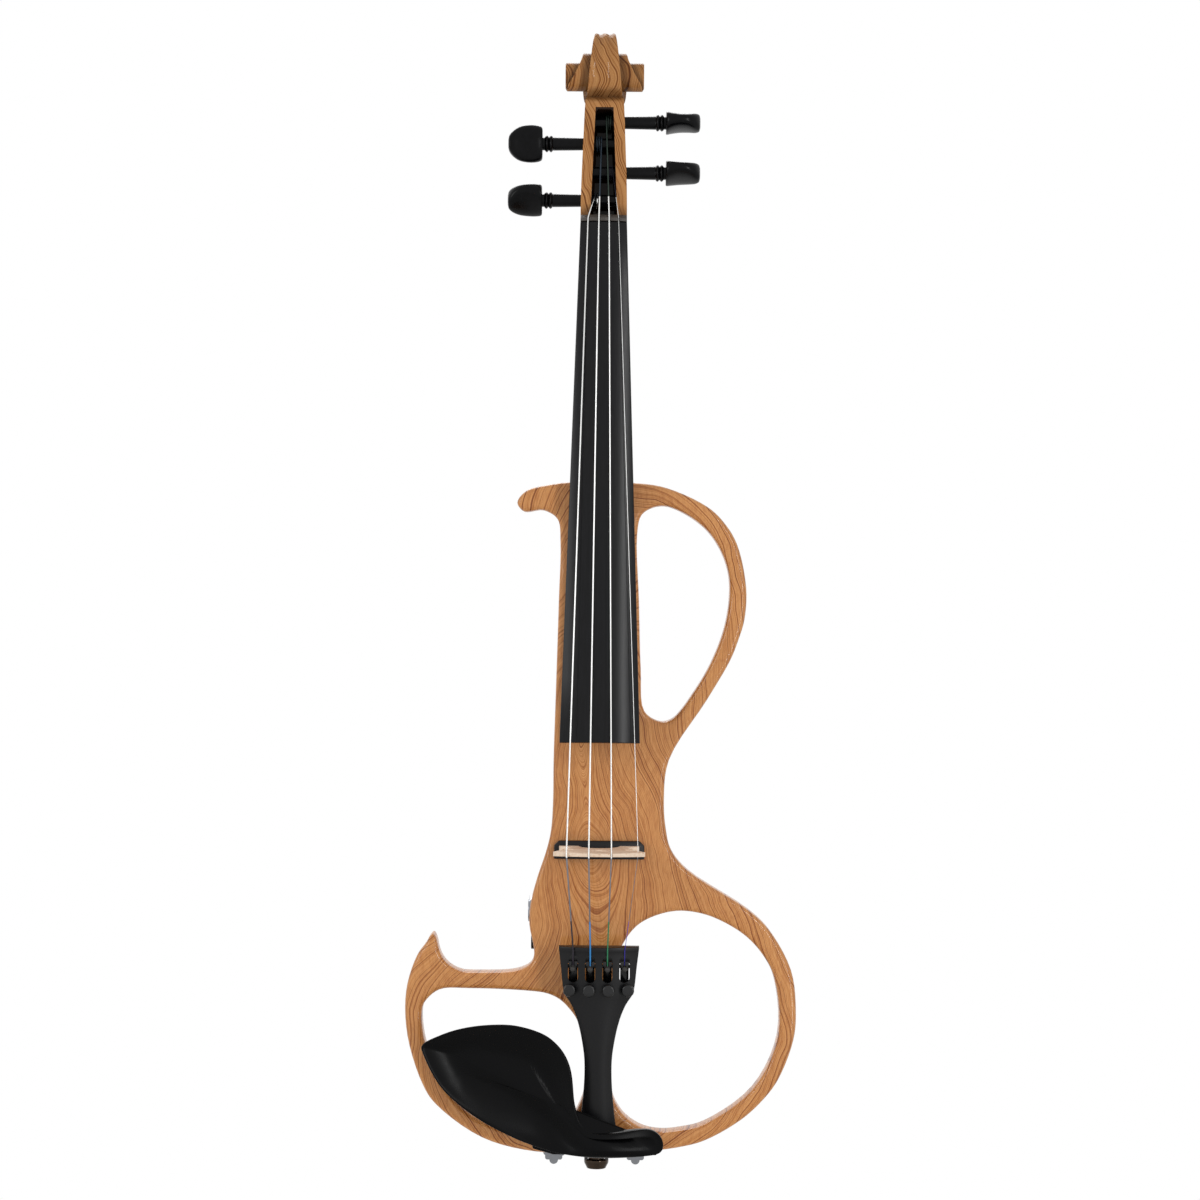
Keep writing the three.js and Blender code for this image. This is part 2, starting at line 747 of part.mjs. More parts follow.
const screwCentre = (name) => tailSpreadShares[name] * tunerScrewSpread;
const leverArmTop = pivotY + pivotRadius;
const ballPlace = hookFace - clearance - ballRadius;

// Route points of one string, from its peg to its ball
function stringRoute(name) {
  const gauge = stringGauges[name];
  const run = pegRun(name);
  const start = run.touch.clone().addScaledVector(run.along, -gauge - slackToPeg);
  const crown = bridgePoint(name);
  const x = slotCentre(name);
  const ridgePlace = tailTop - tailLength * ridgeCentreShare;
  const overRidge = tailSurface(x, ridgePlace) - ridgeHeight - clearance - gauge / 2;
  const ballY = tailSurface(x, ballPlace) - gauge;
  return [
    start.applyMatrix4(neckTurn),
    run.crest.clone().applyMatrix4(neckTurn),
    crown,
    point(tailCentre + x, overRidge, ridgePlace),
    point(tailCentre + x, ballY, hookFace + hookThickness),
    point(tailCentre + x, ballY, ballPlace),
  ];
}

const stringTubeSides = 8;

function makeString(name) {
  const stations = stringRoute(name);
  const ball = new THREE.SphereGeometry(ballRadius, 8, 6);
  const end = stations[stations.length - 1];
  ball.translate(end.x, end.y, end.z);
  return join(tube(stations, stringGauges[name] / 2, stringTubeSides), toSolid(ball));
}

// Groove that a string lies in, with the named gap all round and open above
function makeGroove(name, from, to) {
  const stations = stringRoute(name).slice(from, to + 1);
  return tube(stations, stringGauges[name] / 2 + clearance, stringTubeSides);
}

function makePeg(name) {
  const side = pegSides[name];
  const along = point(1, 0, 0);
  const start = -(pegboxHalfWidthAt(pegAxisPlace(name)) - pegTipInset);
  const collar = pegShaftReach;
  const beads = [0, 1].flatMap((i) => {
    const at = collar + i * pegBeadPitch;
    return [
      [at, pegBeadGrooveRadius],
      [at + pegBeadPitch * 0.25, pegBeadRadius],
      [at + pegBeadPitch * 0.7, pegBeadRadius],
      [at + pegBeadPitch, pegBeadGrooveRadius],
    ];
  });
  const headStart = collar + pegBeadPitch * 2 + pegBeadGrooveRadius * 0.35;
  const body = turned([
    [start, 0],
    [start, pegTaper(start)],
    [collar, pegShaftRadius],
    ...beads,
    [headStart + pegBeadPitch, pegBeadGrooveRadius],
    [headStart + pegBeadPitch, 0],
  ], point(0, 0, 0), along, fineSides);
  const turn = pegRestTurnShares[name] * Math.PI * 2;
  const head = makePegHead(headStart, turn);
  const { stations, endX, last } = makeWinding(name);
  const hole = rod(
    point(endX * side, -pegShaftRadius * 2 * Math.cos(last), -pegShaftRadius * 2 * Math.sin(last)),
    point(endX * side, pegShaftRadius * 2 * Math.cos(last), pegShaftRadius * 2 * Math.sin(last)),
    pegHoleRadius,
    stringTubeSides,
  );
  return cut(join(body, head), hole);
}

// Head stations: [share of length, share of height, share of thickness kept]
const pegHeadShares = [
  [0, 0.42, 0.8],
  [0.02, 0.86, 1],
  [0.15, 0.97, 0.88],
  [0.4, 1, 0.7],
  [0.65, 0.92, 0.69],
  [0.85, 0.7, 0.76],
  [0.96, 0.46, 0.68],
  [1, 0.24, 0.4],
];
const pegHeadPoints = 12;
const pegHeadBluntShare = 0.8;

function makePegHead(start, turn) {
  const rings = pegHeadShares.map(([share, tall, thick]) => (
    Array.from({ length: pegHeadPoints }, (_, i) => {
      const angle = (Math.PI * 2 * i) / pegHeadPoints;
      const up = Math.abs(Math.sin(angle)) ** pegHeadBluntShare * Math.sign(Math.sin(angle));
      const out = Math.abs(Math.cos(angle)) ** pegHeadBluntShare * Math.sign(Math.cos(angle));
      const y = (out * pegHeadFlare * thick) / 2;
      const z = (up * pegHeadHeight * tall) / 2;
      return point(
        start + share * pegHeadLength,
        y * Math.cos(turn) - z * Math.sin(turn),
        y * Math.sin(turn) + z * Math.cos(turn),
      );
    })
  ));
  return loft(rings, (p) => new THREE.Vector2(p.y, p.z));
}

// Bridge outline in shares of its foot width and height, right half, from the centre of the arch
const bridgeFootWidth = 41.6;
const bridgeFootThickness = 4.6;
const bridgeCrownThickness = 1.7;
const bridgeCrownRadius = 42;
const bridgeShoulderHalf = 23.6;
const bridgeHalfShares = [
  [0, 0.3],
  [0.13, 0.27],
  [0.23, 0.14],
  [0.26, 0],
  [0.5, 0],
  [0.5, 0.09],
  [0.4, 0.16],
  [0.36, 0.26],
  [0.385, 0.36],
  [0.42, 0.4],
  [0.4, 0.46],
  [0.33, 0.47],
  [0.31, 0.53],
  [0.37, 0.58],
  [0.48, 0.59],
];
const bridgeHeartShares = [
  [0, 0.68],
  [0.05, 0.72],
  [0.1, 0.7],
  [0.1, 0.64],
  [0.045, 0.58],
  [0.045, 0.52],
  [0, 0.5],
];

function bridgeCrown() {
  const tops = stringNames.map(bridgePoint);
  const highest = Math.min(...tops.map((p) => p.y)) + stringDepthInBridge - stringGauges.d / 2;
  return bridgeFootY - highest;
}

function makeBridge() {
  const height = bridgeCrown();
  const scaled = ([x, y]) => [x * bridgeFootWidth, y * height];
  const right = bridgeHalfShares.map(scaled);
  const crownSteps = 10;
  const drop = (x) => bridgeCrownRadius - Math.sqrt(bridgeCrownRadius ** 2 - x ** 2);
  const crown = Array.from({ length: crownSteps + 1 }, (_, i) => {
    const x = mix(bridgeShoulderHalf, -bridgeShoulderHalf, i / crownSteps);
    return [x, height - drop(x)];
  });
  const left = right.slice(1).reverse().map(([x, y]) => [-x, y]);
  const outline = [...right, ...crown, ...left].map(([x, y]) => new THREE.Vector2(x, y));
  const shape = new THREE.Shape(outline);
  const heart = bridgeHeartShares.map(scaled);
  const heartLoop = [...heart, ...heart.slice(1, -1).reverse().map(([x, y]) => [-x, y])];
  shape.holes.push(new THREE.Path(heartLoop.map(([x, y]) => new THREE.Vector2(x, y))));
  const geometry = new THREE.ExtrudeGeometry(shape, { depth: bridgeFootThickness, bevelEnabled: false });
  geometry.translate(0, 0, -bridgeFootThickness / 2);
  const place = geometry.getAttribute('position');
  for (let i = 0; i < place.count; i += 1) {
    const share = place.getY(i) / height;
    const thin = mix(1, bridgeCrownThickness / bridgeFootThickness, share);
    place.setXYZ(
      i,
      bridgeCentre + place.getX(i),
      bridgeFootY - place.getY(i),
      bridgePlace + place.getZ(i) * thin,
    );
  }
  return cut(toSolid(geometry), ...stringNames.map((name) => makeGroove(name, 1, 3)));
}

function makePickup() {
  const half = pickupWidth / 2;
  const breadth = pickupBreadth / 2;
  const outline = [
    [half, -breadth],
    [half, breadth - pickupCorner],
    [half - pickupCorner, breadth],
    [-half + pickupCorner, breadth],
    [-half, breadth - pickupCorner],
    [-half, -breadth],
  ].map(([x, z]) => new THREE.Vector2(bridgeCentre + x, bridgePlace + z));
  return standing(new THREE.Shape(outline), bodyFront - clearance - pickupThickness, pickupThickness);
}

// Tailpiece solid with its pocket, tuner slots, screw holes and pivot bore
const gutRadius = 0.9;
const gutHalfSpread = 5.4;
const adjusterRadius = 2.2;
const adjusterLength = 6;
const adjusterInset = 4;

function tailBottom(z) {
  const arch = tailArch * fromTable(tailShares, tailAt(z), 2);
  return bodyFront - tailHeight(z) + arch + tailSideDepth * fromTable(tailShares, tailAt(z), 3);
}

const gutStart = tailEnd + adjusterInset + adjusterLength;
const gutStartY = bodyFront - tailHeight(tailEnd) + tailArch * 0.4 + gutRadius + adjusterRadius;

function makeTailpiece() {
  const rings = tailShares.map(([share, , , , ridge]) => {
    const z = tailTop - share * tailLength;
    return tailRing(z, 0, 0, ridge * ridgeHeight, tailBottom(z));
  });
  const shell = loft(rings);
  const pocketRing = (z) => tailRing(z, tailWall, tailPlateThickness, 0, tailBottom(z) + overrun);
  const pocketHigh = tunerLine('pocketHigh');
  const pocketLow = tunerLine('pocketLow');
  const pocket = loft([
    pocketRing(pocketLow),
    pocketRing(mix(pocketLow, pocketHigh, 0.35)),
    pocketRing(mix(pocketLow, pocketHigh, 0.7)),
    pocketRing(pocketHigh),
  ]);
  const throughDepth = tailTopHeight;
  const slots = stringNames.map((name) => {
    const x = tailCentre + slotCentre(name);
    const half = tunerSlotWidth / 2;
    const [low, high] = [tunerLine('slotLow'), tunerLine('slotHigh')];
    const shape = roundedRectangle(x - half, x + half, low, high, half * slotRoundShare);
    return standing(shape, bodyFront - throughDepth - overrun, throughDepth - overrun);
  });
  const bores = stringNames.map((name) => {
    const x = tailCentre + screwCentre(name);
    return rod(
      point(x, bodyFront - throughDepth - overrun, screwPlace),
      point(x, leverArmTop, screwPlace),
      tunerScrewRadius + clearance,
      fineSides,
    );
  });
  const reach = tailTopWidth / 2 + overrun;
  const pivot = rod(
    point(tailCentre - reach, pivotY, pivotPlace),
    point(tailCentre + reach, pivotY, pivotPlace),
    pivotRadius + clearance,
    fineSides,
  );
  const gutBores = [-1, 1].flatMap((side) => [
    rod(
      gutPoint(side, -overrun),
      gutPoint(side, gutStart - tailEnd + overrun),
      gutRadius + clearance,
      fineSides,
    ),
    rod(
      gutPoint(side, adjusterInset - clearance),
      gutPoint(side, adjusterInset + adjusterLength + overrun),
      adjusterRadius + clearance,
      fineSides,
    ),
  ]);
  const grooves = stringNames.map((name) => makeGroove(name, 2, 4));
  const openBelow = [-1, 1].map((side) => {
    const near = gutPoint(side, adjusterInset - clearance);
    const far = gutPoint(side, adjusterInset + adjusterLength + overrun);
    const half = adjusterRadius + clearance;
    return slab(
      point(near.x - half, Math.min(near.y, far.y), near.z),
      point(near.x + half, tailBottom(tailEnd) + tailSideDepth, far.z),
    );
  });
  return cut(shell, pocket, ...slots, ...bores, pivot, ...gutBores, ...grooves, ...openBelow);
}

// Saddle at the body's bottom edge, and the tailgut that runs over it to the end button
const saddleWidth = 21;
const saddleHeight = 7;
const saddleProud = 4;
const saddleSeat = 3.2;
const saddleRound = 1.4;
const gutOverSaddle = bodyFront - saddleProud - clearance - gutRadius;
const gutLoopDrop = 2;
const gutLoopPlace = bodyBottom - gutLoopDrop;

function gutPoint(side, along) {
  const saddleTop = bodyBottom + saddleHeight / 2;
  const slope = (gutStartY - gutOverSaddle) / (tailEnd - saddleTop);
  return point(side * gutHalfSpread, gutStartY + slope * along, tailEnd + along);
}

function makeSaddle() {
  const front = bodyFront - saddleProud;
  const back = bodyFront + saddleSeat;
  const low = bodyBottom;
  const high = bodyBottom + saddleHeight;
  const half = saddleWidth / 2;
  const ring = (x) => [
    point(x, back, low),
    point(x, front + saddleRound, low),
    point(x, front + saddleRound * 0.3, low + saddleRound * 0.3),
    point(x, front, low + saddleRound),
    point(x, front, high - saddleRound * 2),
    point(x, front + saddleRound, high - saddleRound * 0.6),
    point(x, bodyFront - clearance, high),
    point(x, back, high),
  ];
  return loft([ring(-half), ring(half)], (p) => new THREE.Vector2(p.y, p.z));
}

function makeTailgut() {
  const bend = saddleRound + gutRadius;
  const oneSide = (side) => [
    gutPoint(side, gutStart - tailEnd),
    point(side * gutHalfSpread, gutOverSaddle, bodyBottom + saddleHeight / 2),
    point(side * gutHalfSpread, gutOverSaddle, bodyBottom + saddleRound * 0.6),
    point(side * gutHalfSpread, gutOverSaddle + bend * 0.3, gutLoopPlace + gutRadius * 0.8),
    point(side * gutHalfSpread, gutOverSaddle + bend, gutLoopPlace),
  ];
  const loopSteps = 12;
  const loop = Array.from({ length: loopSteps + 1 }, (_, i) => {
    const angle = Math.PI - (Math.PI * i) / loopSteps;
    return point(gutHalfSpread * Math.cos(angle), gutHalfSpread * Math.sin(angle), gutLoopPlace);
  });
  return tube([...oneSide(-1), ...loop, ...oneSide(1).reverse()], gutRadius, stringTubeSides);
}

function makeAdjuster(side) {
  const start = gutPoint(side, adjusterInset);
  const end = gutPoint(side, adjusterInset + adjusterLength - clearance * 2);
  const bore = gutRadius + clearance;
  const beyond = gutPoint(side, adjusterInset + adjusterLength + overrun);
  return cut(rod(start, end, adjusterRadius), rod(gutPoint(side, 0), beyond, bore, fineSides));
}

// End button, turned, with a groove for the tailgut and a tapered shaft
const buttonFaceRadius = 5.2;
const buttonRimRadius = 6.45;
const buttonHeadLength = 5.1;
const buttonGrooveRadius = 4.15;
const buttonShaftRadius = 3.75;
const buttonShaftLength = 22;
const buttonEdge = 0.7;

function makeEndButton() {
  return turned([
    [0, 0],
    [0, buttonFaceRadius - buttonEdge],
    [buttonEdge, buttonFaceRadius],
    [buttonHeadLength * 0.65, buttonRimRadius],
    [buttonHeadLength - buttonEdge, buttonRimRadius],
    [buttonHeadLength, buttonRimRadius - buttonEdge],
    [buttonHeadLength, buttonGrooveRadius],
    [bodyBottom - clearance, buttonGrooveRadius],
    [bodyBottom - clearance, buttonShaftRadius],
    [bodyBottom + buttonShaftLength, buttonShaftRadius - buttonEdge],
    [bodyBottom + buttonShaftLength, 0],
  ], point(0, 0, 0), point(0, 0, 1));
}

// Chinrest: dished cup on the left, crowned bar over the tailpiece, two feet
const chinLeft = -91;
const chinWidth = 125.4;
const chinInset = 1.8;
const chinLow = bodyBottom + chinInset;
const chinHeight = 68.2;
const chinOutlineShares = [
  [0, 0.837], [0.063, 0.902], [0.135, 0.953], [0.223, 0.987], [0.311, 1], [0.375, 0.997], [0.429, 0.978],
  [0.482, 0.948], [0.527, 0.907], [0.573, 0.83], [0.602, 0.748], [0.62, 0.653], [0.628, 0.54],
  [0.633, 0.427], [0.645, 0.337], [0.662, 0.265], [0.693, 0.217], [0.74, 0.2], [0.822, 0.205],
  [0.908, 0.22], [0.953, 0.213], [0.982, 0.179], [0.998, 0.131], [1, 0.07], [0.983, 0.032],
  [0.938, 0.015], [0.864, 0.004], [0.741, 0], [0.638, 0.012], [0.543, 0.041], [0.432, 0.107],
  [0.35, 0.172], [0.255, 0.263], [0.175, 0.364], [0.123, 0.446], [0.077, 0.536], [0.036, 0.664],
  [0.013, 0.758],
];
const chinSpineShares = [[0.2, 0.72], [0.42, 0.6], [0.56, 0.33], [0.66, 0.12], [0.94, 0.11]];
const chinCorkThickness = 2.3;
const chinRimHeight = 23;
const chinDishDepth = 6;
const chinCrownHeight = 29;
const chinUnderHeight = 13.4;
const chinBridgeHeight = 17.8;
const chinEndHeight = 22.5;

// Rings from the middle of the top, out over the rim and back to the middle of the underside:
// [how far out, share of the dish depth, share of the crown, side: 1 top, 0 under]
const chinRingShares = [
  [0.2, 1, 1, 1],
  [0.5, 0.85, 0.97, 1],
  [0.8, 0.35, 0.85, 1],
  [0.94, 0, 0.62, 1],
  [1, -0.05, 0.25, 1],
  [1, 0.1, 0.05, 0],
  [0.9, 0.55, 0, 0],
  [0.5, 1, 0, 0],
  [0.2, 1, 0, 0],
];

function makeChinPlate() {
  const plan = (shares) => shares.map(([x, z]) => (
    new THREE.Vector2(chinLeft + x * chinWidth, chinLow + z * chinHeight)
  ));
  const outline = plan(chinOutlineShares);
  const spine = plan(chinSpineShares);
  const onSpine = (p) => {
    let best = spine[0].clone();
    for (let i = 0; i < spine.length - 1; i += 1) {
      const step = spine[i + 1].clone().sub(spine[i]);
      const share = THREE.MathUtils.clamp(p.clone().sub(spine[i]).dot(step) / step.lengthSq(), 0, 1);
      const near = spine[i].clone().addScaledVector(step, share);
      if (near.distanceTo(p) < best.distanceTo(p)) best = near;
    }
    return best;
  };
  const cupEnd = chinLeft + chinWidth * 0.5;
  const barStart = chinLeft + chinWidth * 0.74;
  const rings = chinRingShares.map(([out, dish, crown, top]) => outline.map((p) => {
    const place = onSpine(p).lerp(p, out);
    const bar = THREE.MathUtils.smoothstep(place.x, cupEnd, barStart);
    const fall = THREE.MathUtils.smoothstep(place.x, barStart, chinLeft + chinWidth);
    const crest = mix(chinCrownHeight, chinEndHeight, fall);
    const cupTop = chinRimHeight - dish * chinDishDepth;
    const barTop = mix(chinRimHeight, crest, crown);
    const cupUnder = mix(chinRimHeight, chinUnderHeight, dish * 0.9 + 0.1);
    const barUnder = mix(chinBridgeHeight, chinRimHeight, (1 - dish) * 0.35);
    const height = top ? mix(cupTop, barTop, bar) : mix(cupUnder, barUnder, bar);
    return point(place.x, bodyFront - height, place.y);
  }));
  return loft(rings, (p) => new THREE.Vector2(p.x, p.z));
}

// Clamps: one each side of the tailpiece, outside the body's bottom edge
const clampPlaces = { left: -22.2, right: 20.3 };
const clampDrop = 2.6;
const clampLine = bodyBottom - clampDrop;
const barrelRadius = 2.25;
const barrelBore = 1.5;
const barrelLength = 16;
const barrelHoleRadius = 0.85;
const studRadius = 1.2;
const clampTabWidth = 9;
const clampTabLength = 9;
const clampTabThickness = 1.6;
const clampFootWidth = 12;
const clampFootReach = 12;
const footCorkThickness = 2.2;
const chinFootHalfWidth = 9;
const chinFootInset = 2.6;
const chinFootLength = 8.9;
const chinFootFlare = 2;
const chinFootLow = bodyBottom + chinFootInset;
const chinFootHigh = chinFootLow + chinFootLength;
const chinFootY = bodyFront - clearance - chinCorkThickness - clearance;

function chinFootSpan(name) {
  const centre = clampPlaces[name];
  return [centre - chinFootHalfWidth, centre + chinFootHalfWidth];
}

function makeChinrest() {
  const feet = Object.keys(clampPlaces).map((name) => {
    const [left, right] = chinFootSpan(name);
    const inner = name === 'left' ? [0, -1] : [1, 0];
    const ring = (y, grow) => [
      point(left - chinFootFlare * grow * (1 - inner[0]), y, chinFootLow),
      point(right + chinFootFlare * grow * (1 + inner[1]), y, chinFootLow),
      point(right + chinFootFlare * grow * (1 + inner[1]), y, chinFootHigh + chinFootFlare * grow),
      point(left - chinFootFlare * grow * (1 - inner[0]), y, chinFootHigh + chinFootFlare * grow),
    ];
    const top = bodyFront - mix(chinBridgeHeight, chinRimHeight, 0.35);
    return loft([ring(chinFootY, 0), ring(top, 1)], (p) => new THREE.Vector2(p.x, p.z));
  });
  const recesses = Object.values(clampPlaces).map((x) => slab(
    point(x - clampTabWidth / 2 - clearance, chinFootY - clampTabThickness - clearance, 0),
    point(
      x + clampTabWidth / 2 + clearance,
      chinFootY + overrun,
      clampLine + clampTabLength + clearance * 2,
    ),
  ));
  return cut(join(makeChinPlate(), ...feet), ...recesses);
}

function makeChinCork(name) {
  const [left, right] = chinFootSpan(name);
  const front = bodyFront - clearance - chinCorkThickness;
  return slab(point(left, front, chinFootLow), point(right, front + chinCorkThickness, chinFootHigh));
}

function makeClampStud(name) {
  const x = clampPlaces[name];
  const tabFront = chinFootY - clampTabThickness;
  const tab = slab(
    point(x - clampTabWidth / 2, tabFront, clampLine),
    point(x + clampTabWidth / 2, chinFootY, clampLine + clampTabLength),
  );
  const eye = rod(point(x, tabFront, clampLine), point(x, chinFootY, clampLine), barrelRadius);
  const stud = rod(
    point(x, tabFront, clampLine),
    point(x, barrelFront + barrelLength * 0.42, clampLine),
    studRadius,
    fineSides,
  );
  return join(tab, eye, stud);
}

const barrelFront = bodyFront;

function makeBarrel(name) {
  const x = clampPlaces[name];
  const start = point(x, barrelFront, clampLine);
  const end = point(x, barrelFront + barrelLength, clampLine);
  const bore = rod(
    point(x, barrelFront - overrun, clampLine),
    point(x, barrelFront + barrelLength + overrun, clampLine),
    barrelBore,
    fineSides,
  );
  const middle = barrelFront + barrelLength / 2;
  const cross = rod(
    point(x - barrelRadius - overrun, middle, clampLine),
    point(x + barrelRadius + overrun, middle, clampLine),
    barrelHoleRadius,
    stringTubeSides,
  );
  return cut(rod(start, end, barrelRadius), bore, cross);
}

function makeClampFoot(name) {
  const x = clampPlaces[name];
  const plateFront = bodyBack + clearance + footCorkThickness + clearance;
  const plateBack = plateFront + clampTabThickness;
  const plate = roundedRectangle(
    x - clampFootWidth / 2,
    x + clampFootWidth / 2,
    clampLine - barrelRadius,
    clampLine + clampFootReach,
    barrelRadius,
  );
  const stem = rod(
    point(x, barrelFront + barrelLength * 0.58, clampLine),
    point(x, plateBack, clampLine),
    studRadius,
    fineSides,
  );
  return join(standing(plate, plateFront, clampTabThickness), stem);
}

function makeFootCork(name) {
  const x = clampPlaces[name];
  const front = bodyBack + clearance;
  return slab(
    point(x - clampFootWidth / 2, front, bodyBottom + clearance),
    point(x + clampFootWidth / 2, front + footCorkThickness, clampLine + clampFootReach),
  );
}

// Fine tuner levers, screws and their rod
function makeLever(name) {
  const x = tailCentre + slotCentre(name);
  const half = leverWidth / 2;
  const hookTop = tailSurface(slotCentre(name), hookFace) - hookStandProud;
  const hub = rod(
    point(x - half, pivotY, pivotPlace),
    point(x + half, pivotY, pivotPlace),
    leverHubRadius,
    fineSides,
  );
  const hook = slab(
    point(x - half, hookTop, hookFace),
    point(x + half, pivotY, hookFace + hookThickness),
  );
  const armEnd = tunerLine('armEnd');
  const arm = slab(
    point(x - half, leverArmTop, armEnd),
    point(x + half, leverArmTop + leverArmThickness, pivotPlace),
  );
  const padX = mix(x, tailCentre + screwCentre(name), 0.5);
  const pad = slab(
    point(padX - leverPadWidth / 2, leverArmTop, armEnd),
    point(padX + leverPadWidth / 2, leverArmTop + leverArmThickness, armEnd + leverPadLength),
  );
  const bore = rod(
    point(x - leverWidth, pivotY, pivotPlace),
    point(x + leverWidth, pivotY, pivotPlace),
    pivotRadius + clearance,
    fineSides,
  );
  const ballY = tailSurface(slotCentre(name), ballPlace) - stringGauges[name];
  const notch = slab(
    point(x - hookNotch / 2, hookTop - overrun, hookFace - overrun),
    point(x + hookNotch / 2, ballY + hookNotch / 2, hookFace + hookThickness + overrun),
  );
  return cut(join(hub, hook, arm, pad), bore, notch);
}

function makeTunerScrew(name) {
  const offset = screwCentre(name);
  const x = tailCentre + offset;
  const inner = Math.max(Math.abs(offset) - tunerScrewHeadRadius, 0);
  const seat = tailSurface(inner, screwPlace) - clearance;
  const head = turned([
    [0, 0],
    [0, tunerScrewHeadRadius * 0.85],
    [tunerScrewHeadHeight * 0.15, tunerScrewHeadRadius],
    [tunerScrewHeadHeight * 0.85, tunerScrewHeadRadius],
    [tunerScrewHeadHeight, tunerScrewHeadRadius * 0.85],
    [tunerScrewHeadHeight, 0],
  ], point(x, seat, screwPlace), point(0, -1, 0), fineSides);
  const shaft = rod(
    point(x, seat - clearance, screwPlace),
    point(x, leverArmTop - clearance, screwPlace),
    tunerScrewRadius,
    fineSides,
  );
  return join(head, shaft);
}

function makePivotRod() {
  const reach = tailHalfWidth(pivotPlace) - clearance;
  return rod(
    point(tailCentre - reach, pivotY, pivotPlace),
    point(tailCentre + reach, pivotY, pivotPlace),
    pivotRadius,
    fineSides,
  );
}

// Electronics in the back of the block: control cavity, plate, knobs, switch and circuit board
const cavityCentre = 2;
const cavityHalfWidth = 17;
const cavityLow = alongBody(0.386);
const cavityHigh = alongBody(0.566);
const cavityDepth = 21;
const cavityFloor = blockBack - cavityDepth;
const plateMargin = 4;
const plateThickness = 2;
const plateCorner = 3;
const plateScrewInset = 2;
const plateScrewRadius = 1.1;
const plateScrewHeadRadius = 1.8;
const plateScrewHeadHeight = 1.2;
const plateScrewLength = 9;
const plateFront = blockBack + clearance;
const plateBack = plateFront + plateThickness;
const knobRadius = 7.5;
const knobHeight = 9;
const knobTopRadius = 6.8;
const potRadius = 8;
const potHeight = 7.5;
const potShaftRadius = 3;
const knobLineShares = { volume: 0.76, tone: 0.42 };
const switchLineShare = 0.14;
const switchTravel = 4;
const switchButtonWidth = 4;
const switchButtonLength = 5;
const switchStandProud = 3;
const boardThickness = 1.6;
const boardMargin = 1.5;
const boardDepth = 12;
const boardPlace = blockBack - boardDepth;
const cavityLine = (share) => mix(cavityLow, cavityHigh, share);

const plateScrewPlaces = [[-1, 0], [1, 0], [-1, 1], [1, 1]].map(([side, high]) => point(
  cavityCentre + side * (cavityHalfWidth + plateScrewInset),
  plateBack,
  high ? cavityHigh + plateScrewInset : cavityLow - plateScrewInset,
));

function makeControlPlate() {
  const shape = roundedRectangle(
    cavityCentre - cavityHalfWidth - plateMargin,
    cavityCentre + cavityHalfWidth + plateMargin,
    cavityLow - plateMargin,
    cavityHigh + plateMargin,
    plateCorner,
  );
  const plate = standing(shape, plateFront, plateThickness);
  const shaftHoles = Object.values(knobLineShares).map((share) => rod(
    point(cavityCentre, plateFront - overrun, cavityLine(share)),
    point(cavityCentre, plateBack + overrun, cavityLine(share)),
    potShaftRadius + clearance,
  ));
  const screwHoles = plateScrewPlaces.map((p) => rod(
    point(p.x, plateFront - overrun, p.z),
    point(p.x, plateBack + overrun, p.z),
    plateScrewRadius + clearance,
    fineSides,
  ));
  const reach = (switchTravel + switchButtonLength) / 2 + clearance;
  const half = switchButtonWidth / 2 + clearance;
  const switchHole = slab(
    point(cavityCentre - reach, plateFront - overrun, cavityLine(switchLineShare) - half),
    point(cavityCentre + reach, plateBack + overrun, cavityLine(switchLineShare) + half),
  );
  return cut(plate, ...shaftHoles, ...screwHoles, switchHole);
}

function makePlateScrew(index) {
  const p = plateScrewPlaces[index];
  return turned([
    [0, 0],
    [0, plateScrewRadius],
    [plateScrewLength, plateScrewRadius],
    [plateScrewLength, plateScrewHeadRadius],
    [plateScrewLength + plateScrewHeadHeight * 0.5, plateScrewHeadRadius],
    [plateScrewLength + plateScrewHeadHeight, plateScrewHeadRadius * 0.5],
    [plateScrewLength + plateScrewHeadHeight, 0],
  ], point(p.x, plateBack + clearance - plateScrewLength, p.z), point(0, 1, 0), stringTubeSides);
}

function makeKnob(name) {
  const z = cavityLine(knobLineShares[name]);
  const start = plateBack + clearance;
  const body = turned([
    [0, 0],
    [0, knobRadius],
    [knobHeight * 0.85, knobTopRadius],
    [knobHeight, knobTopRadius * 0.85],
    [knobHeight, 0],
  ], point(cavityCentre, start, z), point(0, 1, 0));
  const bore = rod(
    point(cavityCentre, start - overrun, z),
    point(cavityCentre, start + knobHeight * 0.6, z),
    potShaftRadius + clearance,
    fineSides,
  );
  const pointer = slab(
    point(cavityCentre - clearance, start + knobHeight * 0.92, z + knobRadius * 0.2),
    point(cavityCentre + clearance, start + knobHeight + overrun, z + knobRadius),
  );
  return cut(body, bore, pointer);
}

function makePowerSwitch() {
  const left = cavityCentre - (switchTravel + switchButtonLength) / 2;
  const half = switchButtonWidth / 2;
  const z = cavityLine(switchLineShare);
  return slab(
    point(left, boardPlace + boardThickness + potHeight + clearance, z - half),
    point(left + switchButtonLength, plateBack + switchStandProud, z + half),
  );
}

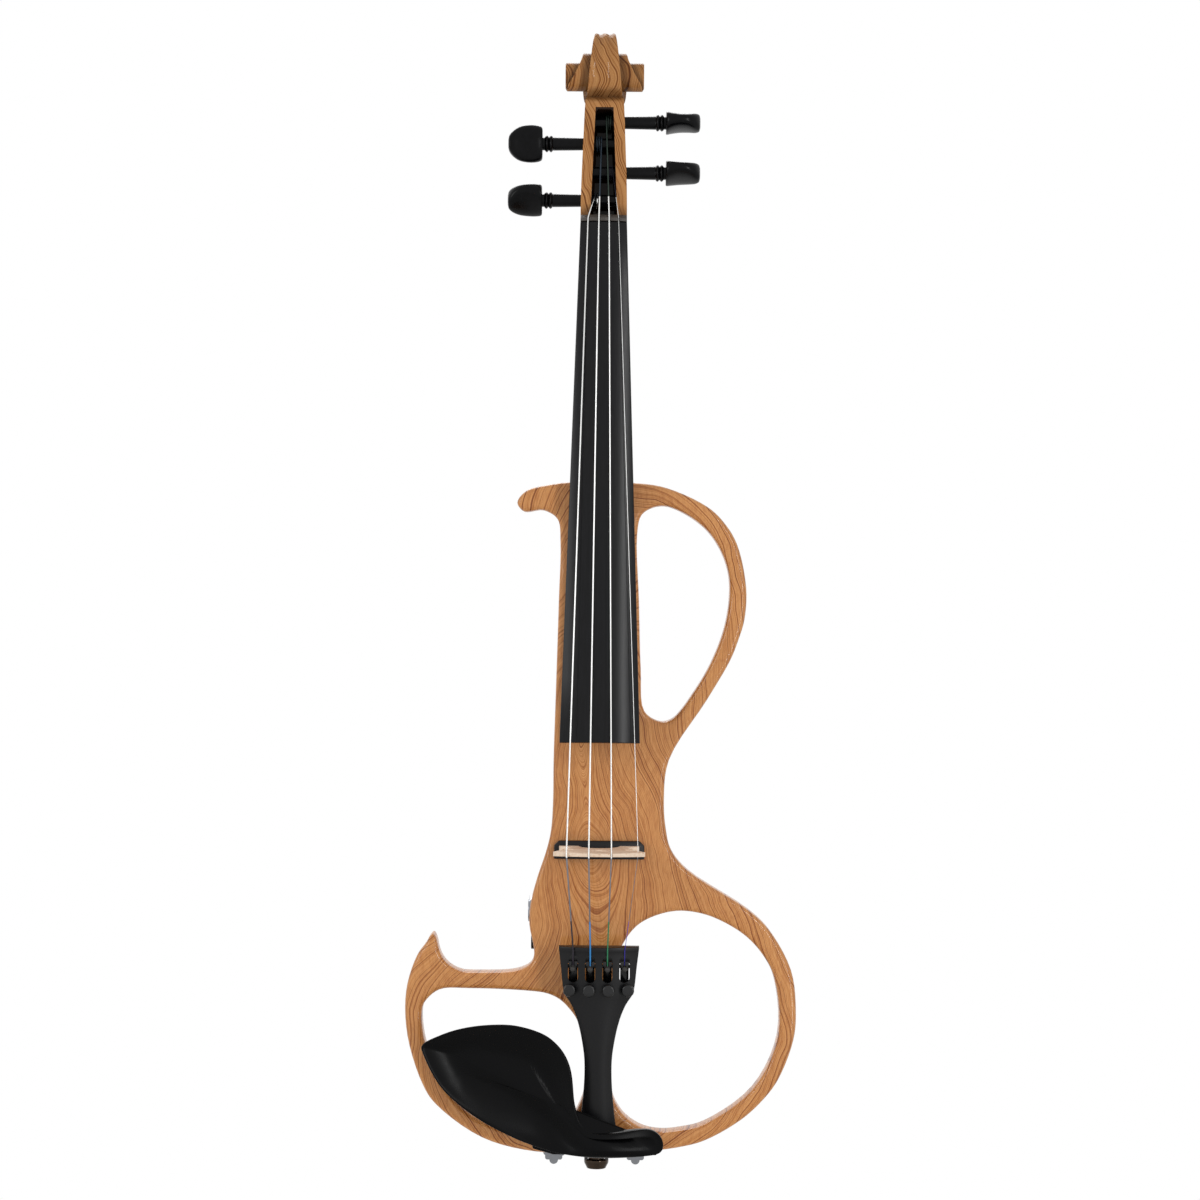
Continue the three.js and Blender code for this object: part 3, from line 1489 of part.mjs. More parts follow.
function makeCircuitBoard() {
  const back = boardPlace + boardThickness;
  const board = slab(
    point(cavityCentre - cavityHalfWidth + boardMargin, boardPlace, cavityLow + boardMargin),
    point(cavityCentre + cavityHalfWidth - boardMargin, back, cavityHigh - boardMargin),
  );
  const pots = Object.values(knobLineShares).map((share) => {
    const z = cavityLine(share);
    return turned([
      [-boardThickness / 2, 0],
      [-boardThickness / 2, potRadius],
      [potHeight, potRadius],
      [potHeight, potShaftRadius],
      [plateBack + clearance + knobHeight * 0.55 - back, potShaftRadius],
      [plateBack + clearance + knobHeight * 0.55 - back, 0],
    ], point(cavityCentre, back, z), point(0, 1, 0));
  });
  const z = cavityLine(switchLineShare);
  const switchHalf = switchTravel + switchButtonLength / 2;
  const switchBody = slab(
    point(cavityCentre - switchHalf, back - boardThickness / 2, z - switchButtonWidth),
    point(cavityCentre + switchHalf, back + potHeight, z + switchButtonWidth),
  );
  const posts = [-1, 1].map((side) => {
    const x = cavityCentre + side * (cavityHalfWidth - potShaftRadius);
    return rod(
      point(x, cavityFloor + clearance, cavityHigh - potRadius),
      point(x, back, cavityHigh - potRadius),
      plateScrewRadius,
      fineSides,
    );
  });
  return join(board, ...pots, switchBody, ...posts);
}

// Battery box let into the back, with a hinged door, a 9 V battery and its clip
const batteryWidth = 26.5;
const batteryLength = 45.5;
const batteryDepth = 17.5;
const batteryRound = 1.5;
const terminalRadius = 2.6;
const terminalHeight = 2.8;
const terminalSpread = 12.7;
const boxWall = 1.2;
const boxFlange = 3;
const boxFlangeThickness = 1.2;
const boxCentre = 0;
const boxLow = alongBody(0.604);
const clipThickness = 2;
const boxInsideLength = batteryLength + terminalHeight + clipThickness;
const boxInsideHalf = batteryWidth / 2 + clearance;
const boxHigh = boxLow + boxWall * 2 + boxInsideLength;
const boxBack = blockBack + clearance + boxFlangeThickness;
const boxFront = blockBack - batteryDepth - boxWall - clearance * 2;
const doorThickness = 1.8;
const doorEar = 2.4;
const doorPinRadius = 0.6;
const doorHingeY = boxBack + doorEar / 2 + clearance;
const doorHingeZ = boxHigh - doorEar / 2;

function makeBatteryBox() {
  const half = boxInsideHalf + boxWall;
  const outer = slab(point(boxCentre - half, boxFront, boxLow), point(boxCentre + half, boxBack, boxHigh));
  const flange = standing(
    roundedRectangle(
      boxCentre - half - boxFlange,
      boxCentre + half + boxFlange,
      boxLow - boxFlange,
      boxHigh + boxFlange,
      boxFlange,
    ),
    blockBack + clearance,
    boxFlangeThickness,
  );
  const inside = slab(
    point(boxCentre - boxInsideHalf, boxFront + boxWall, boxLow + boxWall),
    point(boxCentre + boxInsideHalf, boxBack + overrun, boxHigh - boxWall),
  );
  const wireHole = rod(
    point(boxCentre, boxFront + batteryDepth / 2, boxLow - overrun),
    point(boxCentre, boxFront + batteryDepth / 2, boxLow + boxWall + clearance),
    terminalRadius / 2,
    fineSides,
  );
  const ears = [-1, 1].map((side) => {
    const inner = boxCentre + side * (half + clearance);
    const outerX = inner + side * doorEar;
    return slab(
      point(Math.min(inner, outerX), boxBack - boxFlangeThickness / 2, doorHingeZ - doorEar / 2),
      point(Math.max(inner, outerX), doorHingeY + doorEar / 2, doorHingeZ + doorEar / 2),
    );
  });
  const pinHoles = rod(
    point(boxCentre - half - doorEar, doorHingeY, doorHingeZ),
    point(boxCentre + half + doorEar, doorHingeY, doorHingeZ),
    doorPinRadius + clearance,
    stringTubeSides,
  );
  return cut(join(outer, flange, ...ears), inside, wireHole, pinHoles);
}

function makeBatteryDoor() {
  const half = boxInsideHalf + boxWall;
  const low = boxLow;
  const plate = slab(
    point(boxCentre - half, doorHingeY - doorThickness / 2, low),
    point(boxCentre + half, doorHingeY + doorThickness / 2, doorHingeZ),
  );
  const barrel = rod(
    point(boxCentre - half, doorHingeY, doorHingeZ),
    point(boxCentre + half, doorHingeY, doorHingeZ),
    doorThickness / 2,
    fineSides,
  );
  const pins = rod(
    point(boxCentre - half - doorEar * 0.8, doorHingeY, doorHingeZ),
    point(boxCentre + half + doorEar * 0.8, doorHingeY, doorHingeZ),
    doorPinRadius,
    stringTubeSides,
  );
  const catchHalf = batteryWidth / 5;
  const lip = slab(
    point(boxCentre - catchHalf, boxBack - boxFlangeThickness, low + boxWall + clearance),
    point(boxCentre + catchHalf, doorHingeY, low + boxWall * 2),
  );
  return join(plate, barrel, pins, lip);
}

const batteryFront = boxFront + boxWall + clearance;
const batteryLow = boxLow + boxWall + clearance;

function makeBattery() {
  const can = roundedRectangle(
    boxCentre - batteryWidth / 2 + clearance,
    boxCentre + batteryWidth / 2 - clearance,
    batteryLow,
    batteryLow + batteryLength - clearance,
    batteryRound,
  );
  const middle = batteryFront + batteryDepth / 2 - clearance;
  const top = batteryLow + batteryLength - clearance;
  const terminals = [-1, 1].map((side) => rod(
    point(boxCentre + (side * terminalSpread) / 2, middle, top - batteryRound),
    point(boxCentre + (side * terminalSpread) / 2, middle, top + terminalHeight),
    terminalRadius,
    fineSides,
  ));
  return join(standing(can, batteryFront, batteryDepth - clearance), ...terminals);
}

function makeBatteryClip() {
  const middle = batteryFront + batteryDepth / 2 - clearance;
  const low = batteryLow + batteryLength;
  const half = batteryWidth / 2 - clearance * 2;
  const plate = slab(
    point(boxCentre - half, middle - batteryDepth / 3, low),
    point(boxCentre + half, middle + batteryDepth / 3, low + clipThickness + terminalHeight / 2),
  );
  const sockets = [-1, 1].map((side) => rod(
    point(boxCentre + (side * terminalSpread) / 2, middle, low - overrun),
    point(boxCentre + (side * terminalSpread) / 2, middle, low + terminalHeight + clearance),
    terminalRadius + clearance,
    fineSides,
  ));
  return cut(plate, ...sockets);
}

// Sockets in the left wall of the block
const jackPlace = alongBody(0.357);
const jackY = 6;
const jackFaceX = acrossBody(-0.166);
const jackRadius = 5.9;
const jackLength = 27;
const jackBore = 3.25;
const jackBoreDepth = 22;
const jackNutRadius = 7;
const jackNutThickness = 2;
const jackNutSides = 6;
const jackProud = 1;
const phonesPlace = alongBody(0.31);
const phonesFaceX = acrossBody(-0.158);
const phonesRadius = 3.8;
const phonesLength = 14;
const phonesBore = 1.8;
const phonesBoreDepth = 12;

function makeSocket(faceX, z, radius, length, bore, boreDepth) {
  const start = faceX - jackNutThickness - jackProud;
  const barrel = rod(point(start, jackY, z), point(faceX + length, jackY, z), radius);
  const hole = rod(
    point(start - overrun, jackY, z),
    point(start + boreDepth, jackY, z),
    bore,
    fineSides,
  );
  return cut(barrel, hole);
}

function makeJackNut() {
  const far = jackFaceX - clearance;
  const near = far - jackNutThickness;
  const hex = rod(
    point(near, jackY, jackPlace),
    point(far, jackY, jackPlace),
    jackNutRadius + jackProud,
    jackNutSides,
  );
  const hole = rod(
    point(near - overrun, jackY, jackPlace),
    point(far + overrun, jackY, jackPlace),
    jackRadius + clearance,
  );
  return cut(hex, hole);
}

// Body: bent frame round three openings, with the deeper centre block behind it
const bodyOutlineShares = [
  [-0.0812, 0.9985], [-0.1339, 0.9945], [-0.1925, 0.9853], [-0.2158, 0.9676], [-0.1985, 0.9546],
  [-0.149, 0.9568], [-0.1124, 0.9435], [-0.1045, 0.909], [-0.1075, 0.8229], [-0.1139, 0.6739],
  [-0.1178, 0.5845], [-0.1183, 0.5249], [-0.1228, 0.4802], [-0.1339, 0.4503], [-0.1589, 0.4055],
  [-0.1738, 0.3697], [-0.1765, 0.3399], [-0.1635, 0.2967], [-0.1714, 0.2818], [-0.2045, 0.2715],
  [-0.3019, 0.2678], [-0.3532, 0.2696], [-0.3867, 0.2808], [-0.404, 0.2956], [-0.4165, 0.321],
  [-0.4235, 0.3252], [-0.431, 0.321], [-0.4409, 0.3105], [-0.4645, 0.2909], [-0.4912, 0.2386],
  [-0.4867, 0.1716], [-0.4457, 0.0982], [-0.412, 0.0699], [-0.2934, 0.0213], [-0.1573, 0.001], [0.0093, 0],
  [0.1119, 0.0015], [0.222, 0.0101], [0.2808, 0.0202], [0.3701, 0.0504], [0.4261, 0.0804],
  [0.4641, 0.1104], [0.503, 0.1702], [0.5088, 0.2149], [0.4952, 0.2744], [0.438, 0.3337],
  [0.3838, 0.3633], [0.2266, 0.4222], [0.1852, 0.4518], [0.172, 0.4815], [0.1662, 0.5262],
  [0.1782, 0.5858], [0.2744, 0.6757], [0.3338, 0.7355], [0.3539, 0.7654], [0.3689, 0.7953],
  [0.3729, 0.843], [0.3482, 0.9084], [0.3144, 0.9404], [0.2723, 0.9632], [0.1671, 0.991],
  [0.0803, 0.9985],
];
const upperOpeningShares = [
  [0.0922, 0.9206], [0.1023, 0.9497], [0.1283, 0.961], [0.161, 0.9642], [0.1937, 0.9588],
  [0.24, 0.9437], [0.2787, 0.9237], [0.3099, 0.8948], [0.3272, 0.8644], [0.3307, 0.8368],
  [0.3235, 0.798], [0.3056, 0.7607], [0.2738, 0.7189], [0.2366, 0.6835], [0.2067, 0.659],
  [0.1851, 0.6469], [0.1557, 0.6428], [0.1145, 0.6578], [0.1041, 0.7225], [0.0981, 0.8238],
];
const rightOpeningShares = [
  [0.0528, 0.2903], [0.0615, 0.3082], [0.0945, 0.3357], [0.1353, 0.351], [0.2008, 0.361],
  [0.2659, 0.3572], [0.3235, 0.3444], [0.381, 0.3231], [0.4244, 0.295], [0.4526, 0.2614],
  [0.4632, 0.1759], [0.4002, 0.0967], [0.2779, 0.0447], [0.2139, 0.0348], [0.1627, 0.0323],
  [0.1152, 0.038], [0.074, 0.0535], [0.0494, 0.0727], [0.0375, 0.0935], [0.036, 0.2097],
];
const leftOpeningShares = [
  [-0.4454, 0.1733], [-0.4498, 0.2105], [-0.4423, 0.223], [-0.4054, 0.2412], [-0.3272, 0.2434],
  [-0.1734, 0.2401], [-0.1297, 0.2365], [-0.0989, 0.2285], [-0.0756, 0.2162], [-0.0523, 0.1974],
  [-0.0339, 0.1647], [-0.0283, 0.126], [-0.0304, 0.0962], [-0.0543, 0.0603], [-0.0784, 0.0424],
  [-0.1192, 0.0302], [-0.1756, 0.027], [-0.2938, 0.0466], [-0.3479, 0.0679], [-0.3919, 0.099],
  [-0.4257, 0.1361],
];
const blockOutlineShares = [
  [-0.09, 0.965], [-0.092, 0.906], [-0.094, 0.823], [-0.099, 0.673], [-0.105, 0.522], [-0.109, 0.474],
  [-0.121, 0.444], [-0.145, 0.399], [-0.16, 0.363], [-0.163, 0.333], [-0.147, 0.286], [-0.118, 0.262],
  [-0.02, 0.244], [0.021, 0.252], [0.044, 0.305], [0.075, 0.338], [0.121, 0.36], [0.159, 0.378],
  [0.168, 0.403], [0.15, 0.49], [0.147, 0.524], [0.149, 0.561], [0.14, 0.591], [0.103, 0.641],
  [0.09, 0.674], [0.086, 0.722], [0.082, 0.824], [0.078, 0.906], [0.076, 0.951], [0.053, 0.977],
  [-0.004, 0.986], [-0.069, 0.982],
];
const outlineStepsPerSpan = 1.6;

const bodyPlan = (shares) => smoothLoop(
  shares.map(([x, z]) => new THREE.Vector2(acrossBody(x), alongBody(z))),
  outlineStepsPerSpan,
);

function makeBody() {
  const openings = [upperOpeningShares, rightOpeningShares, leftOpeningShares].map(bodyPlan);
  const front = roundedPlate(bodyPlan(bodyOutlineShares), openings, bodyFront, frameDepth, frameEdgeRound);
  const blockStart = bodyFront + frameDepth / 2;
  const block = bodyPlan(blockOutlineShares);
  const deep = roundedPlate(block, [], blockStart, blockBack - blockStart, blockEdgeRound);
  const saddleSlot = slab(
    point(-saddleWidth / 2 - clearance, bodyFront - overrun, bodyBottom - overrun),
    point(
      saddleWidth / 2 + clearance,
      bodyFront + saddleSeat + clearance,
      bodyBottom + saddleHeight + clearance,
    ),
  );
  const buttonHole = rod(
    point(0, 0, bodyBottom - overrun),
    point(0, 0, bodyBottom + buttonShaftLength + clearance),
    buttonShaftRadius + clearance,
  );
  const cavity = standing(
    roundedRectangle(
      cavityCentre - cavityHalfWidth,
      cavityCentre + cavityHalfWidth,
      cavityLow,
      cavityHigh,
      plateCorner,
    ),
    cavityFloor,
    blockBack + overrun - cavityFloor,
  );
  const boxHalf = boxInsideHalf + boxWall + clearance;
  const boxHole = slab(
    point(boxCentre - boxHalf, boxFront - clearance, boxLow - clearance),
    point(boxCentre + boxHalf, blockBack + overrun, boxHigh + clearance),
  );
  const wireY = boxFront + batteryDepth / 2;
  const boxWire = rod(
    point(boxCentre, wireY, cavityHigh - overrun),
    point(boxCentre, wireY, boxLow),
    terminalRadius / 2,
    fineSides,
  );
  const pickupWire = rod(
    point(cavityCentre, bodyFront - overrun, bridgePlace),
    point(cavityCentre, cavityFloor + overrun, bridgePlace),
    terminalRadius / 2,
    fineSides,
  );
  const screwBores = plateScrewPlaces.map((p) => rod(
    point(p.x, plateBack - plateScrewLength, p.z),
    point(p.x, blockBack + overrun, p.z),
    plateScrewRadius + clearance,
    fineSides,
  ));
  const jackHole = rod(
    point(jackFaceX - jackRadius, jackY, jackPlace),
    point(jackFaceX + jackLength + clearance, jackY, jackPlace),
    jackRadius + clearance,
  );
  const spotface = rod(
    point(jackFaceX - jackRadius, jackY, jackPlace),
    point(jackFaceX, jackY, jackPlace),
    jackNutRadius + jackProud + clearance,
  );
  const phonesHole = rod(
    point(phonesFaceX - jackRadius, jackY, phonesPlace),
    point(phonesFaceX + phonesLength + clearance, jackY, phonesPlace),
    phonesRadius + clearance,
  );
  const jackWireX = jackFaceX + jackLength - terminalRadius;
  const jackWire = rod(
    point(jackWireX, jackY, jackPlace),
    point(jackWireX, jackY, cavityLow + overrun),
    terminalRadius / 2,
    fineSides,
  );
  return cut(
    join(front, deep),
    rootSolid(clearance),
    saddleSlot,
    buttonHole,
    cavity,
    boxHole,
    boxWire,
    pickupWire,
    ...screwBores,
    jackHole,
    spotface,
    phonesHole,
    jackWire,
  );
}

// Materials
const surface = (color, roughness, metalness = 0) => (
  () => new THREE.MeshStandardMaterial({ color, roughness, metalness, flatShading: true })
);
const wood = surface('#c08a4e', 0.3);
const ebony = surface('#141314', 0.45);
const darkNut = surface('#3a332e', 0.5);
const maple = surface('#e2c39a', 0.6);
const steel = surface('#c9ccd0', 0.25, 1);
const chrome = surface('#d8dade', 0.12, 1);
const darkChrome = surface('#3b3633', 0.15, 1);
const blackMetal = surface('#1a1a1c', 0.35, 0.6);
const brass = surface('#c7a14a', 0.3, 1);
const cork = surface('#b48a5c', 0.9);
const blackPlastic = surface('#18181a', 0.5);
const greenBoard = surface('#1f5a3a', 0.6);
const batteryCan = surface('#6d7176', 0.4, 0.6);
const gut = surface('#20201f', 0.5);

const violin = new THREE.Group();
const neckGroup = new THREE.Group();
neckGroup.position.copy(neckFoot);
neckGroup.rotation.x = -neckAngle;
violin.add(neckGroup);

function add(name, solid, material, parent = violin) {
  const mesh = new THREE.Mesh(toGeometry(solid), material());
  mesh.name = name;
  parent.add(mesh);
  return mesh;
}

add('body', makeBody(), wood);
add('neck', makeNeck(), wood, neckGroup);
add('fingerboard', makeFingerboard(), ebony, neckGroup);
const nutGrooves = stringNames.map((name) => (
  makeGroove(name, 0, 2).transform(neckTurn.clone().invert().elements)
));
add('nut', cut(makeNut(), ...nutGrooves), darkNut, neckGroup);

// Each peg is made pointing right and set to its own side, at its place along the pegbox
stringNames.forEach((name) => {
  const side = pegSides[name];
  const holder = new THREE.Group();
  holder.position.set(0, pegDepth, pegAxisPlace(name));
  neckGroup.add(holder);
  const solid = side > 0 ? makePeg(name) : makePeg(name).mirror([1, 0, 0]);
  add(`peg_${name}`, solid, ebony, holder);
  const { stations } = makeWinding(name);
  const winding = tube(stations, stringGauges[name] / 2, wrapTubeSides);
  add(`winding_${name}`, winding, steel, neckGroup);
  const gap = leastGapToItself(stations, stringGauges[name]);
  console.log(`winding_${name}: least gap to itself ${gap.toFixed(2)} mm`);
  add(`string_${name}`, makeString(name), steel);
  add(`tuner_lever_${name}`, makeLever(name), blackMetal);
  add(`tuner_screw_${name}`, makeTunerScrew(name), blackMetal);
});

add('bridge', makeBridge(), maple);
add('bridge_pickup', makePickup(), blackPlastic);
add('tailpiece', makeTailpiece(), blackPlastic);
add('tuner_pivot_rod', makePivotRod(), blackMetal);
add('tailgut', makeTailgut(), gut);
add('saddle', makeSaddle(), ebony);
add('end_button', makeEndButton(), darkChrome);
add('chinrest', makeChinrest(), ebony);
add('tailgut_adjuster_left', makeAdjuster(-1), brass);
add('tailgut_adjuster_right', makeAdjuster(1), brass);
Object.keys(clampPlaces).forEach((name) => {
  add(`chinrest_cork_${name}`, makeChinCork(name), cork);
  add(`clamp_stud_${name}`, makeClampStud(name), chrome);
  add(`clamp_barrel_${name}`, makeBarrel(name), chrome);
  add(`clamp_foot_${name}`, makeClampFoot(name), chrome);
  add(`clamp_cork_${name}`, makeFootCork(name), cork);
});
add('control_plate', makeControlPlate(), blackPlastic);
plateScrewPlaces.forEach((_, i) => add(`plate_screw_${i + 1}`, makePlateScrew(i), steel));
add('volume_knob', makeKnob('volume'), blackPlastic);
add('tone_knob', makeKnob('tone'), blackPlastic);
add('power_switch', makePowerSwitch(), blackPlastic);
add('circuit_board', makeCircuitBoard(), greenBoard);
add(
  'output_jack',
  makeSocket(jackFaceX, jackPlace, jackRadius, jackLength, jackBore, jackBoreDepth),
  chrome,
);
add('jack_nut', makeJackNut(), chrome);
add(
  'headphone_jack',
  makeSocket(phonesFaceX, phonesPlace, phonesRadius, phonesLength, phonesBore, phonesBoreDepth),
  blackPlastic,
);
add('battery_box', makeBatteryBox(), blackPlastic);
add('battery_door', makeBatteryDoor(), blackPlastic);
add('battery_9v', makeBattery(), batteryCan);
add('battery_clip', makeBatteryClip(), blackPlastic);

export default violin;
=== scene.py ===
import json
from math import asin, atan2, cos, exp, hypot, pi, radians, sin, sqrt, tan, tau
import bpy
import numpy as np
from mathutils import Matrix, Vector
from mathutils.geometry import tessellate_polygon


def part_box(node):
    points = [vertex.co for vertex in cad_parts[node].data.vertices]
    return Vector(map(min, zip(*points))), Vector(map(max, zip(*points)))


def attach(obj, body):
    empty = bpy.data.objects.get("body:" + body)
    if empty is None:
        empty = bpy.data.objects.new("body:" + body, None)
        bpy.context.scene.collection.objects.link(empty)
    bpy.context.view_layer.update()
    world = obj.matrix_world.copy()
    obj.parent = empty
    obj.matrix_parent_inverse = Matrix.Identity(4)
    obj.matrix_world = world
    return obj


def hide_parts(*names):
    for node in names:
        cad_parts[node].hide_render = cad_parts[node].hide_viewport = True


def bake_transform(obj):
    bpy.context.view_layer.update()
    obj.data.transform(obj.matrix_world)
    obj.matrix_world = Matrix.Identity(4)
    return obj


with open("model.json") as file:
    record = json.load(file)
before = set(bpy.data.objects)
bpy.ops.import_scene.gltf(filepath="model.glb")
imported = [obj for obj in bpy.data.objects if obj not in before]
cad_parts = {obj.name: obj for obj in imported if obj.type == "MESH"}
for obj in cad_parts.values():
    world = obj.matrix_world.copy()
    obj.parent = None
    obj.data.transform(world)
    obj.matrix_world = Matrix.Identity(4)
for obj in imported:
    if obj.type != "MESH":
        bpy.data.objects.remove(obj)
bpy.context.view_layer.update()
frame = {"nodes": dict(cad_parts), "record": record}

# Camera: the photograph looks at the front from about 1.6 m, level with the violin's middle,
# and the violin leans under half a degree to the right in it.
CAMERA_PLACE = (-0.00038, -1.627, 0.298)
CAMERA_LENS = 93
CAMERA_ROLL = radians(0.453)
camera_data = bpy.data.cameras.new("photo_camera")
camera_data.lens = CAMERA_LENS
camera_data.sensor_width = 36


def linked(name, data):
    """New object of the given data, in the scene."""
    made = bpy.data.objects.new(name, data)
    bpy.context.scene.collection.objects.link(made)
    return made


camera = linked("photo_camera", camera_data)
camera.location = CAMERA_PLACE
camera.rotation_euler = (pi / 2, -CAMERA_ROLL, 0)
bpy.context.scene.camera = camera
bpy.context.scene.view_settings.view_transform = "Standard"

# Body: one slab of laminated wood, sawn to a frame round three openings, its edges rounded over,
# with a deeper block glued in its middle. It carries a printed wood grain under clear gloss lacquer.
MM, MERGE_DISTANCE = 0.001, 0.00001
BODY_BOTTOM, BODY_LENGTH, BODY_WIDTH = 9, 351, 204
BODY_FRONT, FRAME_DEPTH, BLOCK_BACK = -8, 16, 20
FRAME_ROUND, BLOCK_ROUND = 2.6, 3
THIN_WOOD_SHARE = 0.36
body_outline_shares = [
    (-0.0812, 0.9985), (-0.1339, 0.9945), (-0.1925, 0.9853), (-0.2158, 0.9676), (-0.1985, 0.9546),
    (-0.149, 0.9568), (-0.1124, 0.9435), (-0.1045, 0.909), (-0.1075, 0.8229), (-0.1139, 0.6739),
    (-0.1178, 0.5845), (-0.1183, 0.5249), (-0.1228, 0.4802), (-0.1339, 0.4503), (-0.1589, 0.4055),
    (-0.1738, 0.3697), (-0.1765, 0.3399), (-0.1635, 0.2967), (-0.1714, 0.2818), (-0.2045, 0.2715),
    (-0.3019, 0.2678), (-0.3532, 0.2696), (-0.3867, 0.2808), (-0.404, 0.2956), (-0.4165, 0.321),
    (-0.4235, 0.3252), (-0.431, 0.321), (-0.4409, 0.3105), (-0.4645, 0.2909), (-0.4912, 0.2386),
    (-0.4867, 0.1716), (-0.4457, 0.0982), (-0.412, 0.0699), (-0.2934, 0.0213), (-0.1573, 0.001),
    (0.0093, 0), (0.1119, 0.0015), (0.222, 0.0101), (0.2808, 0.0202), (0.3701, 0.0504),
    (0.4261, 0.0804), (0.4641, 0.1104), (0.503, 0.1702), (0.5088, 0.2149), (0.4952, 0.2744),
    (0.438, 0.3337), (0.3838, 0.3633), (0.2266, 0.4222), (0.1852, 0.4518), (0.172, 0.4815),
    (0.1662, 0.5262), (0.1782, 0.5858), (0.2744, 0.6757), (0.3338, 0.7355), (0.3539, 0.7654),
    (0.3689, 0.7953), (0.3729, 0.843), (0.3482, 0.9084), (0.3144, 0.9404), (0.2723, 0.9632),
    (0.1671, 0.991), (0.0803, 0.9985),
]
upper_opening_shares = [
    (0.0922, 0.9206), (0.1023, 0.9497), (0.1283, 0.961), (0.161, 0.9642), (0.1937, 0.9588),
    (0.24, 0.9437), (0.2787, 0.9237), (0.3099, 0.8948), (0.3272, 0.8644), (0.3307, 0.8368),
    (0.3235, 0.798), (0.3056, 0.7607), (0.2738, 0.7189), (0.2366, 0.6835), (0.2067, 0.659),
    (0.1851, 0.6469), (0.1557, 0.6428), (0.1145, 0.6578), (0.1041, 0.7225), (0.0981, 0.8238),
]
right_opening_shares = [
    (0.0528, 0.2903), (0.0615, 0.3082), (0.0945, 0.3357), (0.1353, 0.351), (0.2008, 0.361),
    (0.2659, 0.3572), (0.3235, 0.3444), (0.381, 0.3231), (0.4244, 0.295), (0.4526, 0.2614),
    (0.4632, 0.1759), (0.4002, 0.0967), (0.2779, 0.0447), (0.2139, 0.0348), (0.1627, 0.0323),
    (0.1152, 0.038), (0.074, 0.0535), (0.0494, 0.0727), (0.0375, 0.0935), (0.036, 0.2097),
]
left_opening_shares = [
    (-0.4454, 0.1733), (-0.4498, 0.2105), (-0.4423, 0.223), (-0.4054, 0.2412), (-0.3272, 0.2434),
    (-0.1734, 0.2401), (-0.1297, 0.2365), (-0.0989, 0.2285), (-0.0756, 0.2162), (-0.0523, 0.1974),
    (-0.0339, 0.1647), (-0.0283, 0.126), (-0.0304, 0.0962), (-0.0543, 0.0603), (-0.0784, 0.0424),
    (-0.1192, 0.0302), (-0.1756, 0.027), (-0.2938, 0.0466), (-0.3479, 0.0679), (-0.3919, 0.099),
    (-0.4257, 0.1361),
]
block_outline_shares = [
    (-0.09, 0.965), (-0.092, 0.906), (-0.094, 0.823), (-0.099, 0.673), (-0.105, 0.522),
    (-0.109, 0.474), (-0.121, 0.444), (-0.145, 0.399), (-0.16, 0.363), (-0.163, 0.333),
    (-0.147, 0.286), (-0.118, 0.262), (-0.02, 0.244), (0.021, 0.252), (0.044, 0.305),
    (0.075, 0.338), (0.121, 0.36), (0.159, 0.378), (0.168, 0.403), (0.15, 0.49), (0.147, 0.524),
    (0.149, 0.561), (0.14, 0.591), (0.103, 0.641), (0.09, 0.674), (0.086, 0.722), (0.082, 0.824),
    (0.078, 0.906), (0.076, 0.951), (0.053, 0.977), (-0.004, 0.986), (-0.069, 0.982),
]


def flowing(rows, steps, closed):
    """Rows of numbers with smooth ones between them, so that a table's shape has no corners."""
    table = np.array(rows, float)
    if closed:
        table = np.vstack([table[-1:], table, table[:2]])
    else:
        table = np.vstack([2 * table[0] - table[1], table, 2 * table[-1] - table[-2]])
    made = []
    for near in zip(table, table[1:], table[2:], table[3:]):
        gaps = [max(np.linalg.norm(b - a) ** 0.5, 1e-9) for a, b in zip(near, near[1:])]
        t = np.cumsum([0] + gaps)
        for step in range(steps):
            at = t[1] + (t[2] - t[1]) * step / steps
            level = near
            for spans in (((0, 1), (1, 2), (2, 3)), ((0, 2), (1, 3)), ((1, 2),)):
                shares = [(at - t[a]) / (t[b] - t[a]) for a, b in spans]
                level = [a * (1 - share) + b * share for a, b, share in zip(level, level[1:], shares)]
            made.append(level[0])
    if not closed:
        made.append(table[-2])
    return [list(row) for row in made]


def on_body(shares, steps=5):
    plan = [(x * BODY_WIDTH, BODY_BOTTOM + z * BODY_LENGTH) for x, z in shares]
    return flowing(plan, steps, True)


def object_from(name, points, faces):
    """New object from points in millimetres, with its faces turned outwards."""
    mesh = bpy.data.meshes.new(name)
    mesh.from_pydata([tuple(c * MM for c in p) for p in points], [], faces)
    made = linked(name, mesh)
    tidy_mesh(made)
    return made


def choose(made):
    bpy.ops.object.select_all(action="DESELECT")
    made.select_set(True)
    bpy.context.view_layer.objects.active = made


def tidy_mesh(made):
    """Merges double points and turns every face outwards, in edit mode."""
    choose(made)
    bpy.ops.object.mode_set(mode="EDIT")
    bpy.ops.mesh.select_all(action="SELECT")
    bpy.ops.mesh.remove_doubles(threshold=MERGE_DISTANCE)
    bpy.ops.mesh.normals_make_consistent(inside=False)
    bpy.ops.object.mode_set(mode="OBJECT")


def apply(made, kind, **settings):
    """Adds a modifier with its settings and applies it."""
    choose(made)
    modifier = made.modifiers.new(kind.lower(), kind)
    for name, value in settings.items():
        setattr(modifier, name, value)
    bpy.ops.object.modifier_apply(modifier=modifier.name)


def carve(made, *tools, operation="DIFFERENCE"):
    """Cuts the tools from a piece, or joins them to it, and removes them."""
    for tool in tools:
        apply(made, "BOOLEAN", operation=operation, solver="EXACT", object=tool)
        bpy.data.objects.remove(tool)


def arc(steps, full=pi / 2):
    return [full * k / steps for k in range(steps + 1)]


def walls(loops, start, step):
    """Faces between closed loops of points and the same loops one layer on."""
    faces = []
    for loop in loops:
        for i in range(len(loop)):
            a, b = start + i, start + (i + 1) % len(loop)
            faces.append((a, b, b + step, a + step))
        start += len(loop)
    return faces


